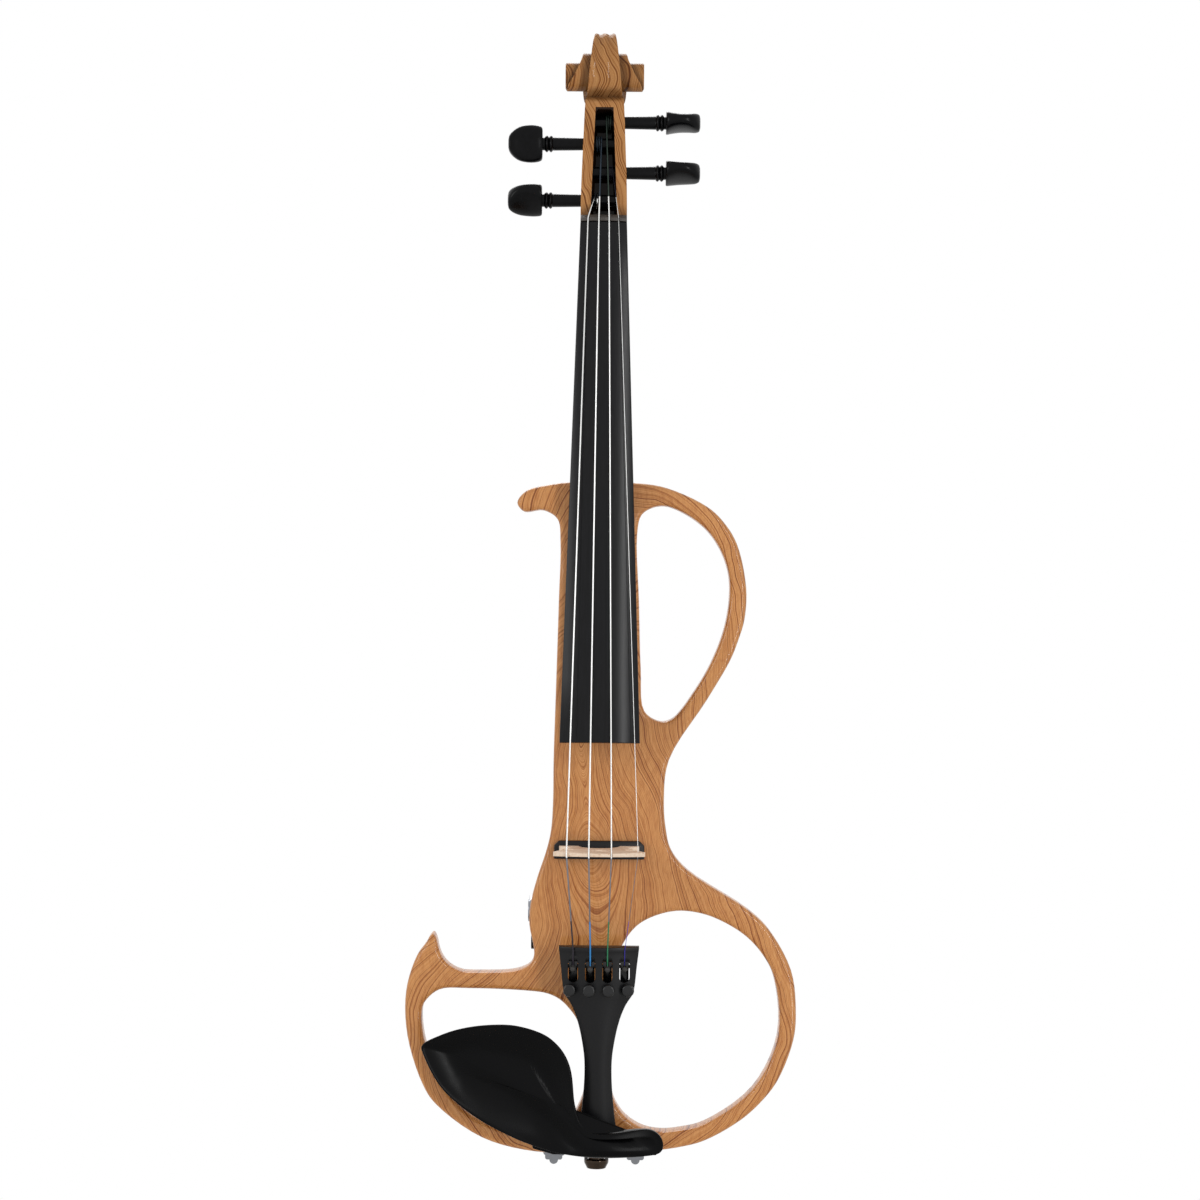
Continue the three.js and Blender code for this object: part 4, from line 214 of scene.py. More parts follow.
def flat_faces(loops, *starts):
    """Faces that close a set of flat loops, once from each starting number."""
    flat = tessellate_polygon([[Vector((x, z, 0)) for x, z in loop] for loop in loops])
    return [tuple(start + c for c in lid) for start in starts for lid in flat]


def rounded_plate(name, outline, openings, front, depth, edge, steps=6):
    """Plate with openings, its edges rounded over, less so where the wood between two edges is thin."""
    loops = []
    for i, loop in enumerate([outline, *openings]):
        points = np.array(loop, float)
        shifted = np.roll(points, -1, 0)
        area = np.sum(points[:, 0] * shifted[:, 1] - shifted[:, 0] * points[:, 1])
        loops.append(points if (area > 0) == (i == 0) else points[::-1])
    everything = np.vstack(loops)
    insets = []
    for loop in loops:
        along = np.roll(loop, -1, 0) - np.roll(loop, 1, 0)
        along /= np.linalg.norm(along, axis=1)[:, None]
        inward = np.stack([-along[:, 1], along[:, 0]], 1)
        rows = []
        for p, n in zip(loop, inward):
            away = everything - p
            distance = np.linalg.norm(away, axis=1)
            ahead = (away @ n > distance * sqrt(0.5)) & (distance > 0)
            wood = distance[ahead].min() if ahead.any() else edge / THIN_WOOD_SHARE
            rows.append(n * min(edge, wood * THIN_WOOD_SHARE))
        insets.append(np.array(rows))
    levels = [(1 - sin(a), 1 - cos(a)) for a in arc(steps)]
    layers = [(share, front + edge * rise) for share, rise in levels]
    layers += [(share, front + depth - edge * rise) for share, rise in reversed(levels)]
    points = []
    for share, y in layers:
        for loop, inset in zip(loops, insets):
            points += [(x, y, z) for x, z in loop + inset * share]
    count = len(everything)
    faces = [face for k in range(len(layers) - 1) for face in walls(loops, k * count, count)]
    faces += flat_faces([loop + inset for loop, inset in zip(loops, insets)], 0, (len(layers) - 1) * count)
    return object_from(name, points, faces)


def box_tool(low, high, corner=0):
    """Box between two corners in millimetres, with its edges along Y rounded, to cut or join."""
    bpy.ops.object.select_all(action="DESELECT")
    middle = [(a + b) / 2 * MM for a, b in zip(low, high)]
    bpy.ops.mesh.primitive_cube_add(size=1, location=middle)
    made = bpy.context.object
    made.scale = [(b - a) * MM for a, b in zip(low, high)]
    bpy.ops.object.transform_apply()
    if corner:
        bpy.ops.object.mode_set(mode="EDIT")
        bpy.ops.mesh.select_all(action="DESELECT")
        bpy.ops.object.mode_set(mode="OBJECT")
        for side in made.data.edges:
            a, b = (made.data.vertices[v].co for v in side.vertices)
            side.select = abs(a.y - b.y) > abs(a.x - b.x) + abs(a.z - b.z)
        bpy.ops.object.mode_set(mode="EDIT")
        bpy.ops.mesh.select_mode(type="EDGE")
        bpy.ops.mesh.bevel(offset=corner * MM, segments=6, affect="EDGES")
        bpy.ops.object.mode_set(mode="OBJECT")
    return made


def rod_tool(start, end, radius, end_radius=None, sides=48):
    """Round rod or cone between two points in millimetres."""
    bpy.ops.object.select_all(action="DESELECT")
    a, b = Vector(start) * MM, Vector(end) * MM
    bpy.ops.mesh.primitive_cone_add(
        vertices=sides, radius1=radius * MM, radius2=(radius if end_radius is None else end_radius) * MM,
        depth=(b - a).length, location=(a + b) / 2,
        rotation=(b - a).to_track_quat("Z", "Y").to_euler(),
    )
    bpy.ops.object.transform_apply()
    return bpy.context.object


def rod_on(axis, start, end, place, radius, **more):
    """Rod along one axis through a place."""
    ends = []
    for at in (start, end):
        point = list(place)
        point[axis] = at
        ends.append(point)
    return rod_tool(*ends, radius, **more)


def box_in_mm(node):
    """Lower and upper corner of a CAD node in millimetres."""
    return [[c / MM for c in corner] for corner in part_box(node)]


def dress(made, node, material, smooth=35, bend=None):
    """Gives a finished piece its material and smooth shading, hides the CAD node that it stands for, and
    puts it under that node's body, or, given a bend, bakes its place into its mesh instead."""
    made.data.materials.clear()
    made.data.materials.append(material)
    choose(made)
    bpy.ops.object.shade_smooth_by_angle(angle=radians(smooth))
    body = next(b for b, members in frame["record"]["behaviour"]["bodies"].items() if node in members)
    if bend:
        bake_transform(made)
    else:
        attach(made, body)
    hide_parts(node)


def linear(code):
    """Linear colour with full alpha from an sRGB hex value."""
    parts = [int(code[i : i + 2], 16) / 255 for i in (1, 3, 5)]
    return [c / 12.92 if c <= 0.04045 else ((c + 0.055) / 1.055) ** 2.4 for c in parts] + [1]


class Nodes:
    """Nodes of one tree. A node's input takes a value, a colour code or another node's output."""

    def __init__(self, tree):
        self.tree = tree

    def feed(self, node, inputs):
        for socket, value in inputs.items():
            if isinstance(value, bpy.types.NodeSocket):
                self.tree.links.new(value, node.inputs[socket])
            elif value is not None:
                node.inputs[socket].default_value = linear(value) if isinstance(value, str) else value

    def add(self, kind, inputs, output=0, **settings):
        """Adds a node and gives one of its outputs, or the node itself for no output."""
        node = self.tree.nodes.new("ShaderNode" + kind)
        for name, value in settings.items():
            setattr(node, name, value)
        self.feed(node, inputs)
        return node if output is None else node.outputs[output]

    def math(self, operation, *values):
        return self.add("Math", dict(enumerate(values)), operation=operation)

    def vector(self, operation, *values, output="Vector"):
        return self.add("VectorMath", dict(enumerate(values)), output, operation=operation)

    def spread(self, source, low, high, start=0, end=1, **settings):
        """Turns the range from start to end into the one from low to high."""
        return self.add("MapRange", {0: source, 1: start, 2: end, 3: low, 4: high}, **settings)

    def mixed(self, share, first, second, blend="MIX"):
        return self.add("Mix", {0: share, 6: first, 7: second}, 2, data_type="RGBA", blend_type=blend)

    def tinted(self, base, tint, strength=1):
        return self.mixed(strength, base, tint, "MULTIPLY")

    def bump(self, height, strength, distance):
        return self.add("Bump", {"Height": height, "Strength": strength, "Distance": distance})

    def ramp(self, source, *stops):
        node = self.add("ValToRGB", {"Fac": source}, None)
        elements = node.color_ramp.elements
        while len(elements) < len(stops):
            elements.new(0.5)
        for element, (place, code) in zip(elements, stops):
            element.position = place
            element.color = linear(code)
        return node.outputs[0]


class Look(Nodes):
    """A material with its nodes, which read each point's place on the object."""

    def __init__(self, name):
        self.material = bpy.data.materials.new(name)
        self.material.use_nodes = True
        super().__init__(self.material.node_tree)
        self.place = self.add("TexCoord", {}, "Object")

    def along(self, axis):
        return self.add("SeparateXYZ", {"Vector": self.place}, axis)

    def noise(self, scale, detail, place=None, output="Fac"):
        """Noise with as many waves in a metre as its scale says, so 1000 gives one in a millimetre."""
        return self.add("TexNoise", {"Scale": scale, "Detail": detail, "Vector": place or self.place}, output)

    def stretched(self, scale, place=None):
        return self.add("Mapping", {"Scale": scale, "Vector": place or self.place})

    def lines(self, field, count, detail, *stops):
        """Irregular lines along a field's level curves, as a colour."""
        inputs = {"Scale": 1, "Detail": detail, "Roughness": 0.6, "W": self.math("MULTIPLY", field, count)}
        return self.ramp(self.add("TexNoise", inputs, "Fac", noise_dimensions="1D"), *stops)

    def done(self, colour, roughness, specular=None, **more):
        """Feeds the shader and gives the finished material."""
        inputs = {"Base Color": colour, "Roughness": roughness, "Specular IOR Level": specular}
        inputs.update((name.replace("_", " ").title(), value) for name, value in more.items())
        self.feed(self.tree.nodes["Principled BSDF"], inputs)
        return self.material


# Wood grain printed on the laminate: lines of late wood flow round the openings and two long knots and
# bend away from the waist and the corners, in warm brown under a clear gloss lacquer that mirrors
# lamps in thin bright lines.
GRAIN_LIGHT, GRAIN_MID, GRAIN_LINE, GRAIN_DARK = "#E0A466", "#CE8E50", "#AA6831", "#864A1D"
GRAIN_LINES, FINE_LINES = 20, 120
grain_centres = [
    ((0.035, 0.298), 0.010, 0.6, 1.0), ((0.052, 0.076), 0.008, 1, 1.3), ((-0.063, 0.073), 0.006, 1, 0.9),
    ((-0.028, 0.036), 0.006, 1, 0.9), ((-0.009, 0.228), 0.005, 0.34, 1.6), ((0.0, 0.166), 0.02, 0.9, 1.5),
    ((0.098, 0.194), 0.004, 1, -1.0), ((-0.067, 0.140), 0.006, 1, -0.9), ((-0.049, 0.3135), 0.004, 1, -0.6),
]
BEND_REACH = 0.016
look = Look("lacquered_printed_wood")
bend = look.noise(22, 2, look.stretched((1, 0.25, 1)), "Color")
bent = look.vector("MULTIPLY_ADD", bend, (BEND_REACH,) * 3, look.place)
total = None
for (x, z), core, squeeze, weight in grain_centres:
    flat = look.vector("MULTIPLY", bent, (1, 0, squeeze))
    centre = (x + BEND_REACH / 2, core, (z + BEND_REACH / 2) * squeeze)
    away = look.vector("DISTANCE", flat, centre, output="Value")
    total = look.math("MULTIPLY_ADD", look.math("LOGARITHM", away, exp(1)), weight, total)
waved = look.math("MULTIPLY_ADD", look.noise(160, 3), 0.03, total)
late_wood = look.lines(
    waved, GRAIN_LINES, 3, (0.33, GRAIN_DARK), (0.385, GRAIN_LINE), (0.44, GRAIN_MID), (0.52, GRAIN_LIGHT),
    (0.63, GRAIN_MID), (0.68, GRAIN_LINE), (0.73, GRAIN_MID),
)
fine_wood = look.lines(waved, FINE_LINES, 2, (0.35, "#D9B491"), (0.55, "#FFFFFF"))
fibre = look.noise(1, 2, look.stretched((1100, 1100, 160), bent))
fibre_shade = look.ramp(fibre, (0.3, "#CBA580"), (0.55, "#FFFFFF"))
printed_wood = look.done(
    look.tinted(look.tinted(late_wood, fine_wood, 0.7), fibre_shade, 0.4), 0.4, 0.2,
    normal=look.bump(look.noise(260, 1), 0.05, 0.0004), coat_weight=0.45, coat_roughness=0.04,
)

body = rounded_plate(
    "violin_body", on_body(body_outline_shares),
    [on_body(s) for s in (upper_opening_shares, right_opening_shares, left_opening_shares)],
    BODY_FRONT, FRAME_DEPTH, FRAME_ROUND,
)
block = rounded_plate(
    "centre_block", on_body(block_outline_shares), [], BODY_FRONT + FRAME_DEPTH / 2,
    BLOCK_BACK - BODY_FRONT - FRAME_DEPTH / 2, BLOCK_ROUND,
)
carve(body, block, operation="UNION")
CAVITY_LOW, CAVITY_HIGH = BODY_BOTTOM + 0.386 * BODY_LENGTH, BODY_BOTTOM + 0.566 * BODY_LENGTH
JACK_FACE, JACK_SEAT = -0.166 * BODY_WIDTH, 6
BATTERY_WIDTH, BOX_WALL, GAP = 26.5, 1.2, 0.3
BOX_FLANGE = 3
SADDLE_ROOM = (0, 2, 2)
saddle_low, saddle_high = box_in_mm("saddle")
box_low, box_high = box_in_mm("battery_box")
box_half = BATTERY_WIDTH / 2 + GAP + BOX_WALL + GAP
jack_low, jack_high = box_in_mm("output_jack")
phones_low, phones_high = box_in_mm("headphone_jack")
jack_middle, phones_middle = np.add(jack_low, jack_high) / 2, np.add(phones_low, phones_high) / 2
ROOT_LENGTH, ROOT_HALF, ROOT_DEPTH = 60, 12, 4
BUTTON_HOLE, JACK_HOLE, JACK_SEAT_RADIUS, PHONES_HOLE = 4.05, 6.2, 8.3, 4.1
CAVITY_LEFT, CAVITY_RIGHT, CAVITY_DEPTH, CAVITY_CORNER = -15, 19, 21, 3
carve(
    body,
    box_tool([c - GAP - past for c, past in zip(saddle_low, SADDLE_ROOM)], [c + GAP for c in saddle_high]),
    rod_tool((0, 0, BODY_BOTTOM - 2), (0, 0, box_in_mm("end_button")[1][2] + GAP), BUTTON_HOLE),
    box_tool(
        (CAVITY_LEFT, BLOCK_BACK - CAVITY_DEPTH, CAVITY_LOW), (CAVITY_RIGHT, BLOCK_BACK + 2, CAVITY_HIGH),
        CAVITY_CORNER,
    ),
    box_tool(
        (-box_half, box_low[1] - GAP, box_low[2] + BOX_FLANGE - GAP),
        (box_half, BLOCK_BACK + 2, box_high[2] - BOX_FLANGE + GAP),
    ),
    box_tool(
        (-ROOT_HALF - GAP, -20, BODY_BOTTOM + BODY_LENGTH - ROOT_LENGTH - GAP),
        (ROOT_HALF + GAP, ROOT_DEPTH + GAP, BODY_BOTTOM + BODY_LENGTH + 4),
    ),
    rod_on(0, JACK_FACE - JACK_SEAT, jack_high[0] + GAP, jack_middle, JACK_HOLE),
    rod_on(0, JACK_FACE - JACK_SEAT, JACK_FACE, jack_middle, JACK_SEAT_RADIUS),
    rod_on(0, JACK_FACE - JACK_SEAT, phones_high[0] + GAP, phones_middle, PHONES_HOLE),
)
tidy_mesh(body)
dress(body, "body", printed_wood)

# Neck, pegbox and scroll: one length of the same wood, carved. A round shaft under the board grows
# from a heel glued into the body, opens into the pegbox and ends in a volute of three turns.
NECK_FOOT = (0, BODY_FRONT - 6, BODY_BOTTOM + BODY_LENGTH)
NECK_ANGLE = radians(4.4)
NECK_LENGTH, BOARD_TOP_WIDTH, NUT_THICKNESS = 135.5, 24.3, 3.6
NUT_REAR = NECK_LENGTH + GAP + NUT_THICKNESS
PEGBOX_LENGTH = 77.6
EYE_DEPTH, EYE_PLACE = 13.4, NUT_REAR + PEGBOX_LENGTH
VOLUTE_BACK_RADIUS, EYE_RADIUS, EYE_WIDTH = 20.5, 7, 41.5
RIM_CHAMFER, RIM_FLUTE, TREAD_SCOOP = 0.5, 0.8, 1.9
BACK_FLUTE = 1.2
heel_shares = [
    (0, 0.66, 1, 3), (0.035, 0.65, 0.93, 3), (0.08, 0.63, 0.76, 2.8), (0.13, 0.61, 0.6, 2.5),
    (0.2, 0.59, 0.49, 2.2), (0.32, 0.57, 0.445, 2), (0.65, 0.54, 0.42, 2), (0.93, 0.502, 0.4, 2),
    (1.025, 0.5, 0.47, 2.4),
]
HEEL_DEPTH = 31.5
pegbox_shares = [
    (0.05, 0.5, 0, 0.6), (0.2, 0.492, 0, 0.655), (0.4, 0.47, 0, 0.625), (0.6, 0.445, 0, 0.59),
    (0.72, 0.43, 0, 0.6), (0.785, 0.417, 0.05, 0.66), (0.85, 0.39, 0.5, 0.775),
    (0.92, 0.34, 0.93, 0.9), (1, 0.2675, 1, 1),
]
volute_radius_shares = [
    1, 1.09, 1.12, 1, 0.86, 0.775, 0.732, 0.66, 0.634, 0.63, 0.6, 0.546, 0.478, 0.43, 0.39, 0.36, 0.3415,
]
volute_width_shares = [
    0.313, 0.272, 0.253, 0.313, 0.386, 0.441, 0.482, 0.542, 0.571, 0.561, 0.554, 0.593, 0.747, 0.928,
    0.971, 0.993, 1,
]


def on_neck(x, y, z):
    """Place in millimetres from the neck's own frame, whose Z runs up the fingerboard's underside."""
    return (
        x,
        NECK_FOOT[1] + y * cos(NECK_ANGLE) + z * sin(NECK_ANGLE),
        NECK_FOOT[2] - y * sin(NECK_ANGLE) + z * cos(NECK_ANGLE),
    )


def skin(name, rings):
    """Closed skin through rings of equal count, with a lid on each end."""
    count = len(rings[0])
    points = [p for ring in rings for p in ring]
    faces = [
        (k * count + i, k * count + (i + 1) % count, (k + 1) * count + (i + 1) % count, (k + 1) * count + i)
        for k in range(len(rings) - 1) for i in range(count)
    ]
    faces += [tuple(range(count)), tuple(range(len(points) - count, len(points)))]
    return object_from(name, points, faces)


def neck_section(place, half, front, back, roundness, flute=0, steps=40):
    ring = []
    for i in range(steps + 1):
        angle = pi * i / steps
        wide = abs(cos(angle)) ** (2 / roundness) * (1 if cos(angle) > 0 else -1)
        deep = max(sin(angle), 0) ** (2 / roundness)
        y = front + (back - front) * deep - flute * sin(pi * wide) ** 2 * deep
        ring.append(on_neck(wide * half, y, place(y) if callable(place) else place))
    return ring


def heel_foot(y):
    return (GAP + y * sin(NECK_ANGLE)) / cos(NECK_ANGLE)


def volute_value(shares, angle):
    fine = flowing([[s] for s in shares], 8, False)
    at = min(angle / (pi / 32), len(fine) - 1.001)
    low = int(at)
    return fine[low][0] + (fine[low + 1][0] - fine[low][0]) * (at - low)


def volute_turn(angle, inner):
    """Radius of a turn at one angle, never past the turn outside it."""
    return min(max(EYE_RADIUS, VOLUTE_BACK_RADIUS * volute_value(volute_radius_shares, angle)), inner)


def volute_ring(direction):
    """Stepped section of all turns at one direction from the eye, from one face over the rim to the
    other."""
    side = []
    inner, tread = 1e9, 0
    for turn in range(3):
        angle = direction + turn * tau
        radius = volute_turn(angle, inner)
        half = max(EYE_WIDTH * volute_value(volute_width_shares, angle) / 2, tread)
        side.append((radius, max(half - RIM_CHAMFER, tread)))
        inner = radius - RIM_CHAMFER
        side.append((inner, half))
        tread = half
        if turn < 2:
            foot = volute_turn(angle + tau, inner)
            scoop = min(TREAD_SCOOP, (inner - foot) * 0.3)
            for share in [k / 5 for k in range(1, 6)]:
                side.append((inner + (foot - inner) * share, half - scoop * sin(pi * share * 0.75)))
            tread = side[-1][1]
            inner = foot
    radius, half = side[0]
    rim = [
        (radius - RIM_FLUTE * sin(pi * s / 8) ** 2, half * (1 - s / 8)) for s in range(1, 16)
    ]
    loop = [(0, side[-1][1]), *reversed(side), *rim, *[(r, -x) for r, x in side], (0, -side[-1][1])]
    return [
        on_neck(x, EYE_DEPTH + r * cos(direction), EYE_PLACE + r * sin(direction)) for r, x in loop
    ]


def heel_place(share):
    """Height of one heel section, which leans with the body's top close to the foot."""
    full = heel_shares[1][0]
    if share >= full:
        return share * NECK_LENGTH
    return lambda y: heel_foot(y) + (full * NECK_LENGTH - heel_foot(y)) * share / full


heel_rings = [
    neck_section(heel_place(row[0]), BOARD_TOP_WIDTH * row[1], GAP, HEEL_DEPTH * row[2], row[3])
    for row in flowing(heel_shares, 4, False)
]
pegbox_rings = [
    neck_section(
        NUT_REAR + row[0] * PEGBOX_LENGTH, BOARD_TOP_WIDTH * row[1], GAP + (EYE_DEPTH - GAP) * row[2],
        (EYE_DEPTH + VOLUTE_BACK_RADIUS) * row[3], 4 + 4 * max(row[0] - 0.92, 0) / 0.08,
        BACK_FLUTE * min(row[0] * 5, 1),
    )
    for row in flowing(pegbox_shares, 6, False)
]
neck = skin("neck_and_scroll", heel_rings + pegbox_rings)
volute_halves = [
    skin(f"volute_half_{half}", [volute_ring(pi * half + pi * i / 64) for i in range(65)])
    for half in (0, 1)
]


def root_end(z):
    top = -(NECK_FOOT[2] - z) * tan(NECK_ANGLE) + NECK_FOOT[1] + GAP
    return [(x, y, z) for x, y in (
        (-ROOT_HALF, top), (ROOT_HALF, top), (ROOT_HALF, ROOT_DEPTH), (-ROOT_HALF, ROOT_DEPTH),
    )]


root = skin("neck_root", [root_end(NECK_FOOT[2] - ROOT_LENGTH), root_end(NECK_FOOT[2] + 2)])
carve(neck, *volute_halves, root, operation="UNION")

PEG_DEPTH = 9.2
peg_places = {"g": 10.1, "e": 25, "d": 40.3, "a": 51.9}
peg_sides = {"g": -1, "d": -1, "a": 1, "e": 1}
SHAFT_RADIUS, SHAFT_END_RADIUS, SHAFT_REACH, HOLE_REACH = 3.5, 2.9, 27, 24
SLOT_CORNER = 1.2
slot_rows = [(0.4, 6.9, 16), (55.8, 4.62, 15), (57.04, 3.35, 13.8)]


def peg_taper(x):
    share = (SHAFT_REACH - x) / (SHAFT_REACH * 1.45)
    return SHAFT_RADIUS + (SHAFT_END_RADIUS - SHAFT_RADIUS) * share


def slot_ring(along, half, depth):
    right = [(half, -2), (half, depth - SLOT_CORNER), (half - SLOT_CORNER, depth)]
    return [on_neck(x, y, NUT_REAR + along) for x, y in right + [(-x, y) for x, y in reversed(right)]]


neck_tools = [skin("pegbox_slot", [slot_ring(*row) for row in slot_rows])]
for name, along in peg_places.items():
    reach = peg_sides[name] * HOLE_REACH
    ends = [on_neck(x, PEG_DEPTH, NUT_REAR + along) for x in (-reach, reach)]
    neck_tools.append(rod_tool(*ends, peg_taper(-HOLE_REACH) + GAP, peg_taper(HOLE_REACH) + GAP, 32))
carve(neck, *neck_tools)
tidy_mesh(neck)

# The carved wood shows its grain cut across the turns, in short slanting streaks under the same
# lacquer. The pegbox is coloured dark inside, from its slot down to its floor, and the scroll's flutes
# and inner corners are darkened by an occlusion node, which is painted shade.
CARVED_LIGHT, CARVED_MID, CARVED_LINE, CARVED_DARK = "#CB9862", "#B37E4A", "#845229", "#5C3417"
DARK_INSIDE_DEPTH, DARK_INSIDE_COLOUR = 17, "#2A1A12"
DARK_INSIDE_LOW, DARK_INSIDE_HIGH, DARK_INSIDE_FULL, DARK_INSIDE_HALVES = 0.499, 0.557, (0.5, 0.556), (0.00705, 0.00475)
look = Look("lacquered_carved_wood")
slant = look.vector("DOT_PRODUCT", look.place, (0.95, 0.5, 0.22), output="Value")
across = look.math("MULTIPLY_ADD", look.noise(45, 2), 0.009, slant)
streaks = look.lines(
    across, 620, 3, (0.26, CARVED_DARK), (0.34, CARVED_LINE), (0.44, CARVED_MID), (0.55, CARVED_LIGHT),
    (0.66, CARVED_MID), (0.74, CARVED_LINE),
)
fine_streaks = look.lines(across, 3200, 2, (0.35, "#CFA47C"), (0.55, "#FFFFFF"))
height = look.along("Z")
side_way = look.math("ABSOLUTE", look.along("X"))
deep = look.vector(
    "DOT_PRODUCT", look.place, (0, cos(NECK_ANGLE), -sin(NECK_ANGLE)), output="Value"
)
foot_depth = NECK_FOOT[1] * cos(NECK_ANGLE) - NECK_FOOT[2] * sin(NECK_ANGLE)
inside = look.math("LESS_THAN", side_way, look.spread(height, *DARK_INSIDE_HALVES, *DARK_INSIDE_FULL, clamp=False))
for limit in (
    look.math("LESS_THAN", deep, (foot_depth + DARK_INSIDE_DEPTH) * MM),
    look.math("LESS_THAN", height, DARK_INSIDE_HIGH), look.math("GREATER_THAN", height, DARK_INSIDE_LOW),
):
    inside = look.math("MULTIPLY", inside, limit)
dark_inside_wood = look.mixed(inside, look.tinted(streaks, fine_streaks, 0.7), DARK_INSIDE_COLOUR)
# Painted shade: an occlusion node darkens the base colour in the flutes and inner corners.
painted_hollow_shade = look.add("AmbientOcclusion", {"Distance": 0.007}, "AO", samples=8)
wood_with_painted_shade = look.tinted(dark_inside_wood, look.spread(painted_hollow_shade, 0.5, 1, 0.84, 0.98))
carved_wood = look.done(wood_with_painted_shade, 0.4, 0, coat_weight=0.22, coat_roughness=0.05)
dress(neck, "neck", carved_wood, 40)

# Fingerboard: hardwood stained black and rubbed to a satin sheen, tapered, arched across its top
# and flat below, glued to the neck and reaching out over the body.
BOARD_LENGTH, BOARD_END_WIDTH = 272, 41.5
BOARD_ARCH_RADIUS, BOARD_EDGE = 42, 4.5
look = Look("black_stained_hardwood")
pores = look.noise(1, 3, look.stretched((1400, 1400, 45)))
black_wood = look.done(
    look.ramp(pores, (0.35, "#060608"), (0.7, "#0F0F12")), look.spread(pores, 0.2, 0.28), 0.2,
    normal=look.bump(pores, 0.12, 0.00005),
)


def bevel(made, width, segments=3, angle=50):
    """Rounds the edges that are sharper than an angle."""
    apply(
        made, "BEVEL", width=width * MM, segments=segments,
        limit_method="ANGLE", angle_limit=radians(angle),
    )


def board_half(z):
    return (BOARD_TOP_WIDTH + (BOARD_END_WIDTH - BOARD_TOP_WIDTH) * (NECK_LENGTH - z) / BOARD_LENGTH) / 2


def board_top(x, z):
    def drop(w):
        return BOARD_ARCH_RADIUS - sqrt(BOARD_ARCH_RADIUS ** 2 - w * w)
    return BOARD_EDGE + drop(board_half(z)) - drop(x)


def board_ring(z):
    half = board_half(z)
    xs = [half - 2 * half * i / 48 for i in range(49)]
    return [on_neck(half, 0, z), *[on_neck(x, -board_top(x, z), z) for x in xs], on_neck(-half, 0, z)]


BOARD_END = NECK_LENGTH - BOARD_LENGTH
board = skin("fingerboard_piece", [board_ring(BOARD_END + BOARD_LENGTH * i / 8) for i in range(9)])
bevel(board, 0.35)
dress(board, "fingerboard", black_wood, 30)

# Nut: a strip of dark hardwood across the board's end, grooved for the strings and sloped back, its
# sharp edges eased by hand. It is oiled, which leaves it duller than the board.
look = Look("dark_oiled_hardwood")
dark_wood = look.done(look.ramp(look.noise(1800, 2), (0.3, "#241F1C"), (0.7, "#47403A")), 0.5)


def dissolve(made, angle):
    """Joins faces that lie in one plane."""
    apply(made, "DECIMATE", decimate_type="DISSOLVE", angle_limit=radians(angle))


def eased_copy(name, node, width=0.25, angle=35, segments=2):
    """Copy of a CAD node, merged, its sharp edges eased by a small round."""
    mesh = frame["nodes"][node].data.copy()
    mesh.name = name
    made = linked(name, mesh)
    tidy_mesh(made)
    dissolve(made, 1)
    bevel(made, width, segments, angle)
    return made


def eased_piece(name, node, slot, material, width=0.3, smooth=35, **more):
    dress(eased_copy(name, node, width, **more), node, material, smooth)


eased_piece("string_nut", "nut", "nut", dark_wood, 0.2, 40)

# Pegs: turned black hardwood, polished until it shows small sharp highlights. A tapered shaft runs
# through both pegbox walls, with two beads and a collar, and the head is a flat thumb piece hollowed
# on both faces.
peg_turn_shares = {"g": 0.139, "d": 0, "a": 0.236, "e": 0.208}
BEAD_RADIUS, BEAD_GROOVE, BEAD_PITCH = 4.4, 3.4, 2.2
HEAD_LENGTH, HEAD_HEIGHT, HEAD_FLARE = 18, 20, 10.8
head_shares = [
    (0, 0.42, 0.8), (0.02, 0.86, 1), (0.15, 0.97, 0.86), (0.4, 1, 0.7), (0.65, 0.92, 0.72),
    (0.85, 0.7, 0.84), (0.96, 0.46, 0.8), (1, 0.24, 0.5),
]
look = Look("polished_black_hardwood")
polished_black = look.done(look.ramp(look.noise(500, 3), (0.3, "#040405"), (0.7, "#0A0A0C")), 0.22, 0.11)


def turned(name, profile, sides=64):
    """Turned piece along +X from points of distance and radius, spun round in edit mode."""
    mesh = bpy.data.meshes.new(name)
    mesh.from_pydata(
        [(a * MM, 0, r * MM) for a, r in profile], [(i, i + 1) for i in range(len(profile) - 1)], []
    )
    made = linked(name, mesh)
    choose(made)
    bpy.ops.object.mode_set(mode="EDIT")
    bpy.ops.mesh.select_all(action="SELECT")
    bpy.ops.mesh.spin(steps=sides, angle=tau, center=(0, 0, 0), axis=(1, 0, 0))
    bpy.ops.object.mode_set(mode="OBJECT")
    tidy_mesh(made)
    return made


def pegbox_half(z):
    rows = [(r[0], r[1]) for r in pegbox_shares]
    return BOARD_TOP_WIDTH * float(np.interp((z - NUT_REAR) / PEGBOX_LENGTH, *zip(*rows)))


def rounded_square(angle):
    """Point of a soft-cornered square of half width one."""
    return [abs(c) ** 0.8 * (1 if c > 0 else -1) for c in (cos(angle), sin(angle))]


def peg_head(name, start):
    turn = peg_turn_shares[name] * tau
    rings = []
    for share, tall, thick in flowing(head_shares, 5, False):
        ring = []
        for i in range(48):
            out, up = rounded_square(tau * i / 48)
            y, z = out * HEAD_FLARE * thick / 2, up * HEAD_HEIGHT * tall / 2
            ring.append((
                start + share * HEAD_LENGTH,
                y * cos(turn) - z * sin(turn),
                y * sin(turn) + z * cos(turn),
            ))
        rings.append(ring)
    return skin(f"head_{name}", rings)


def put(made, turn, *place):
    """Turns a mesh about the origin and moves it to a place in millimetres."""
    made.data.transform(Matrix.Translation(Vector(place) * MM) @ turn)


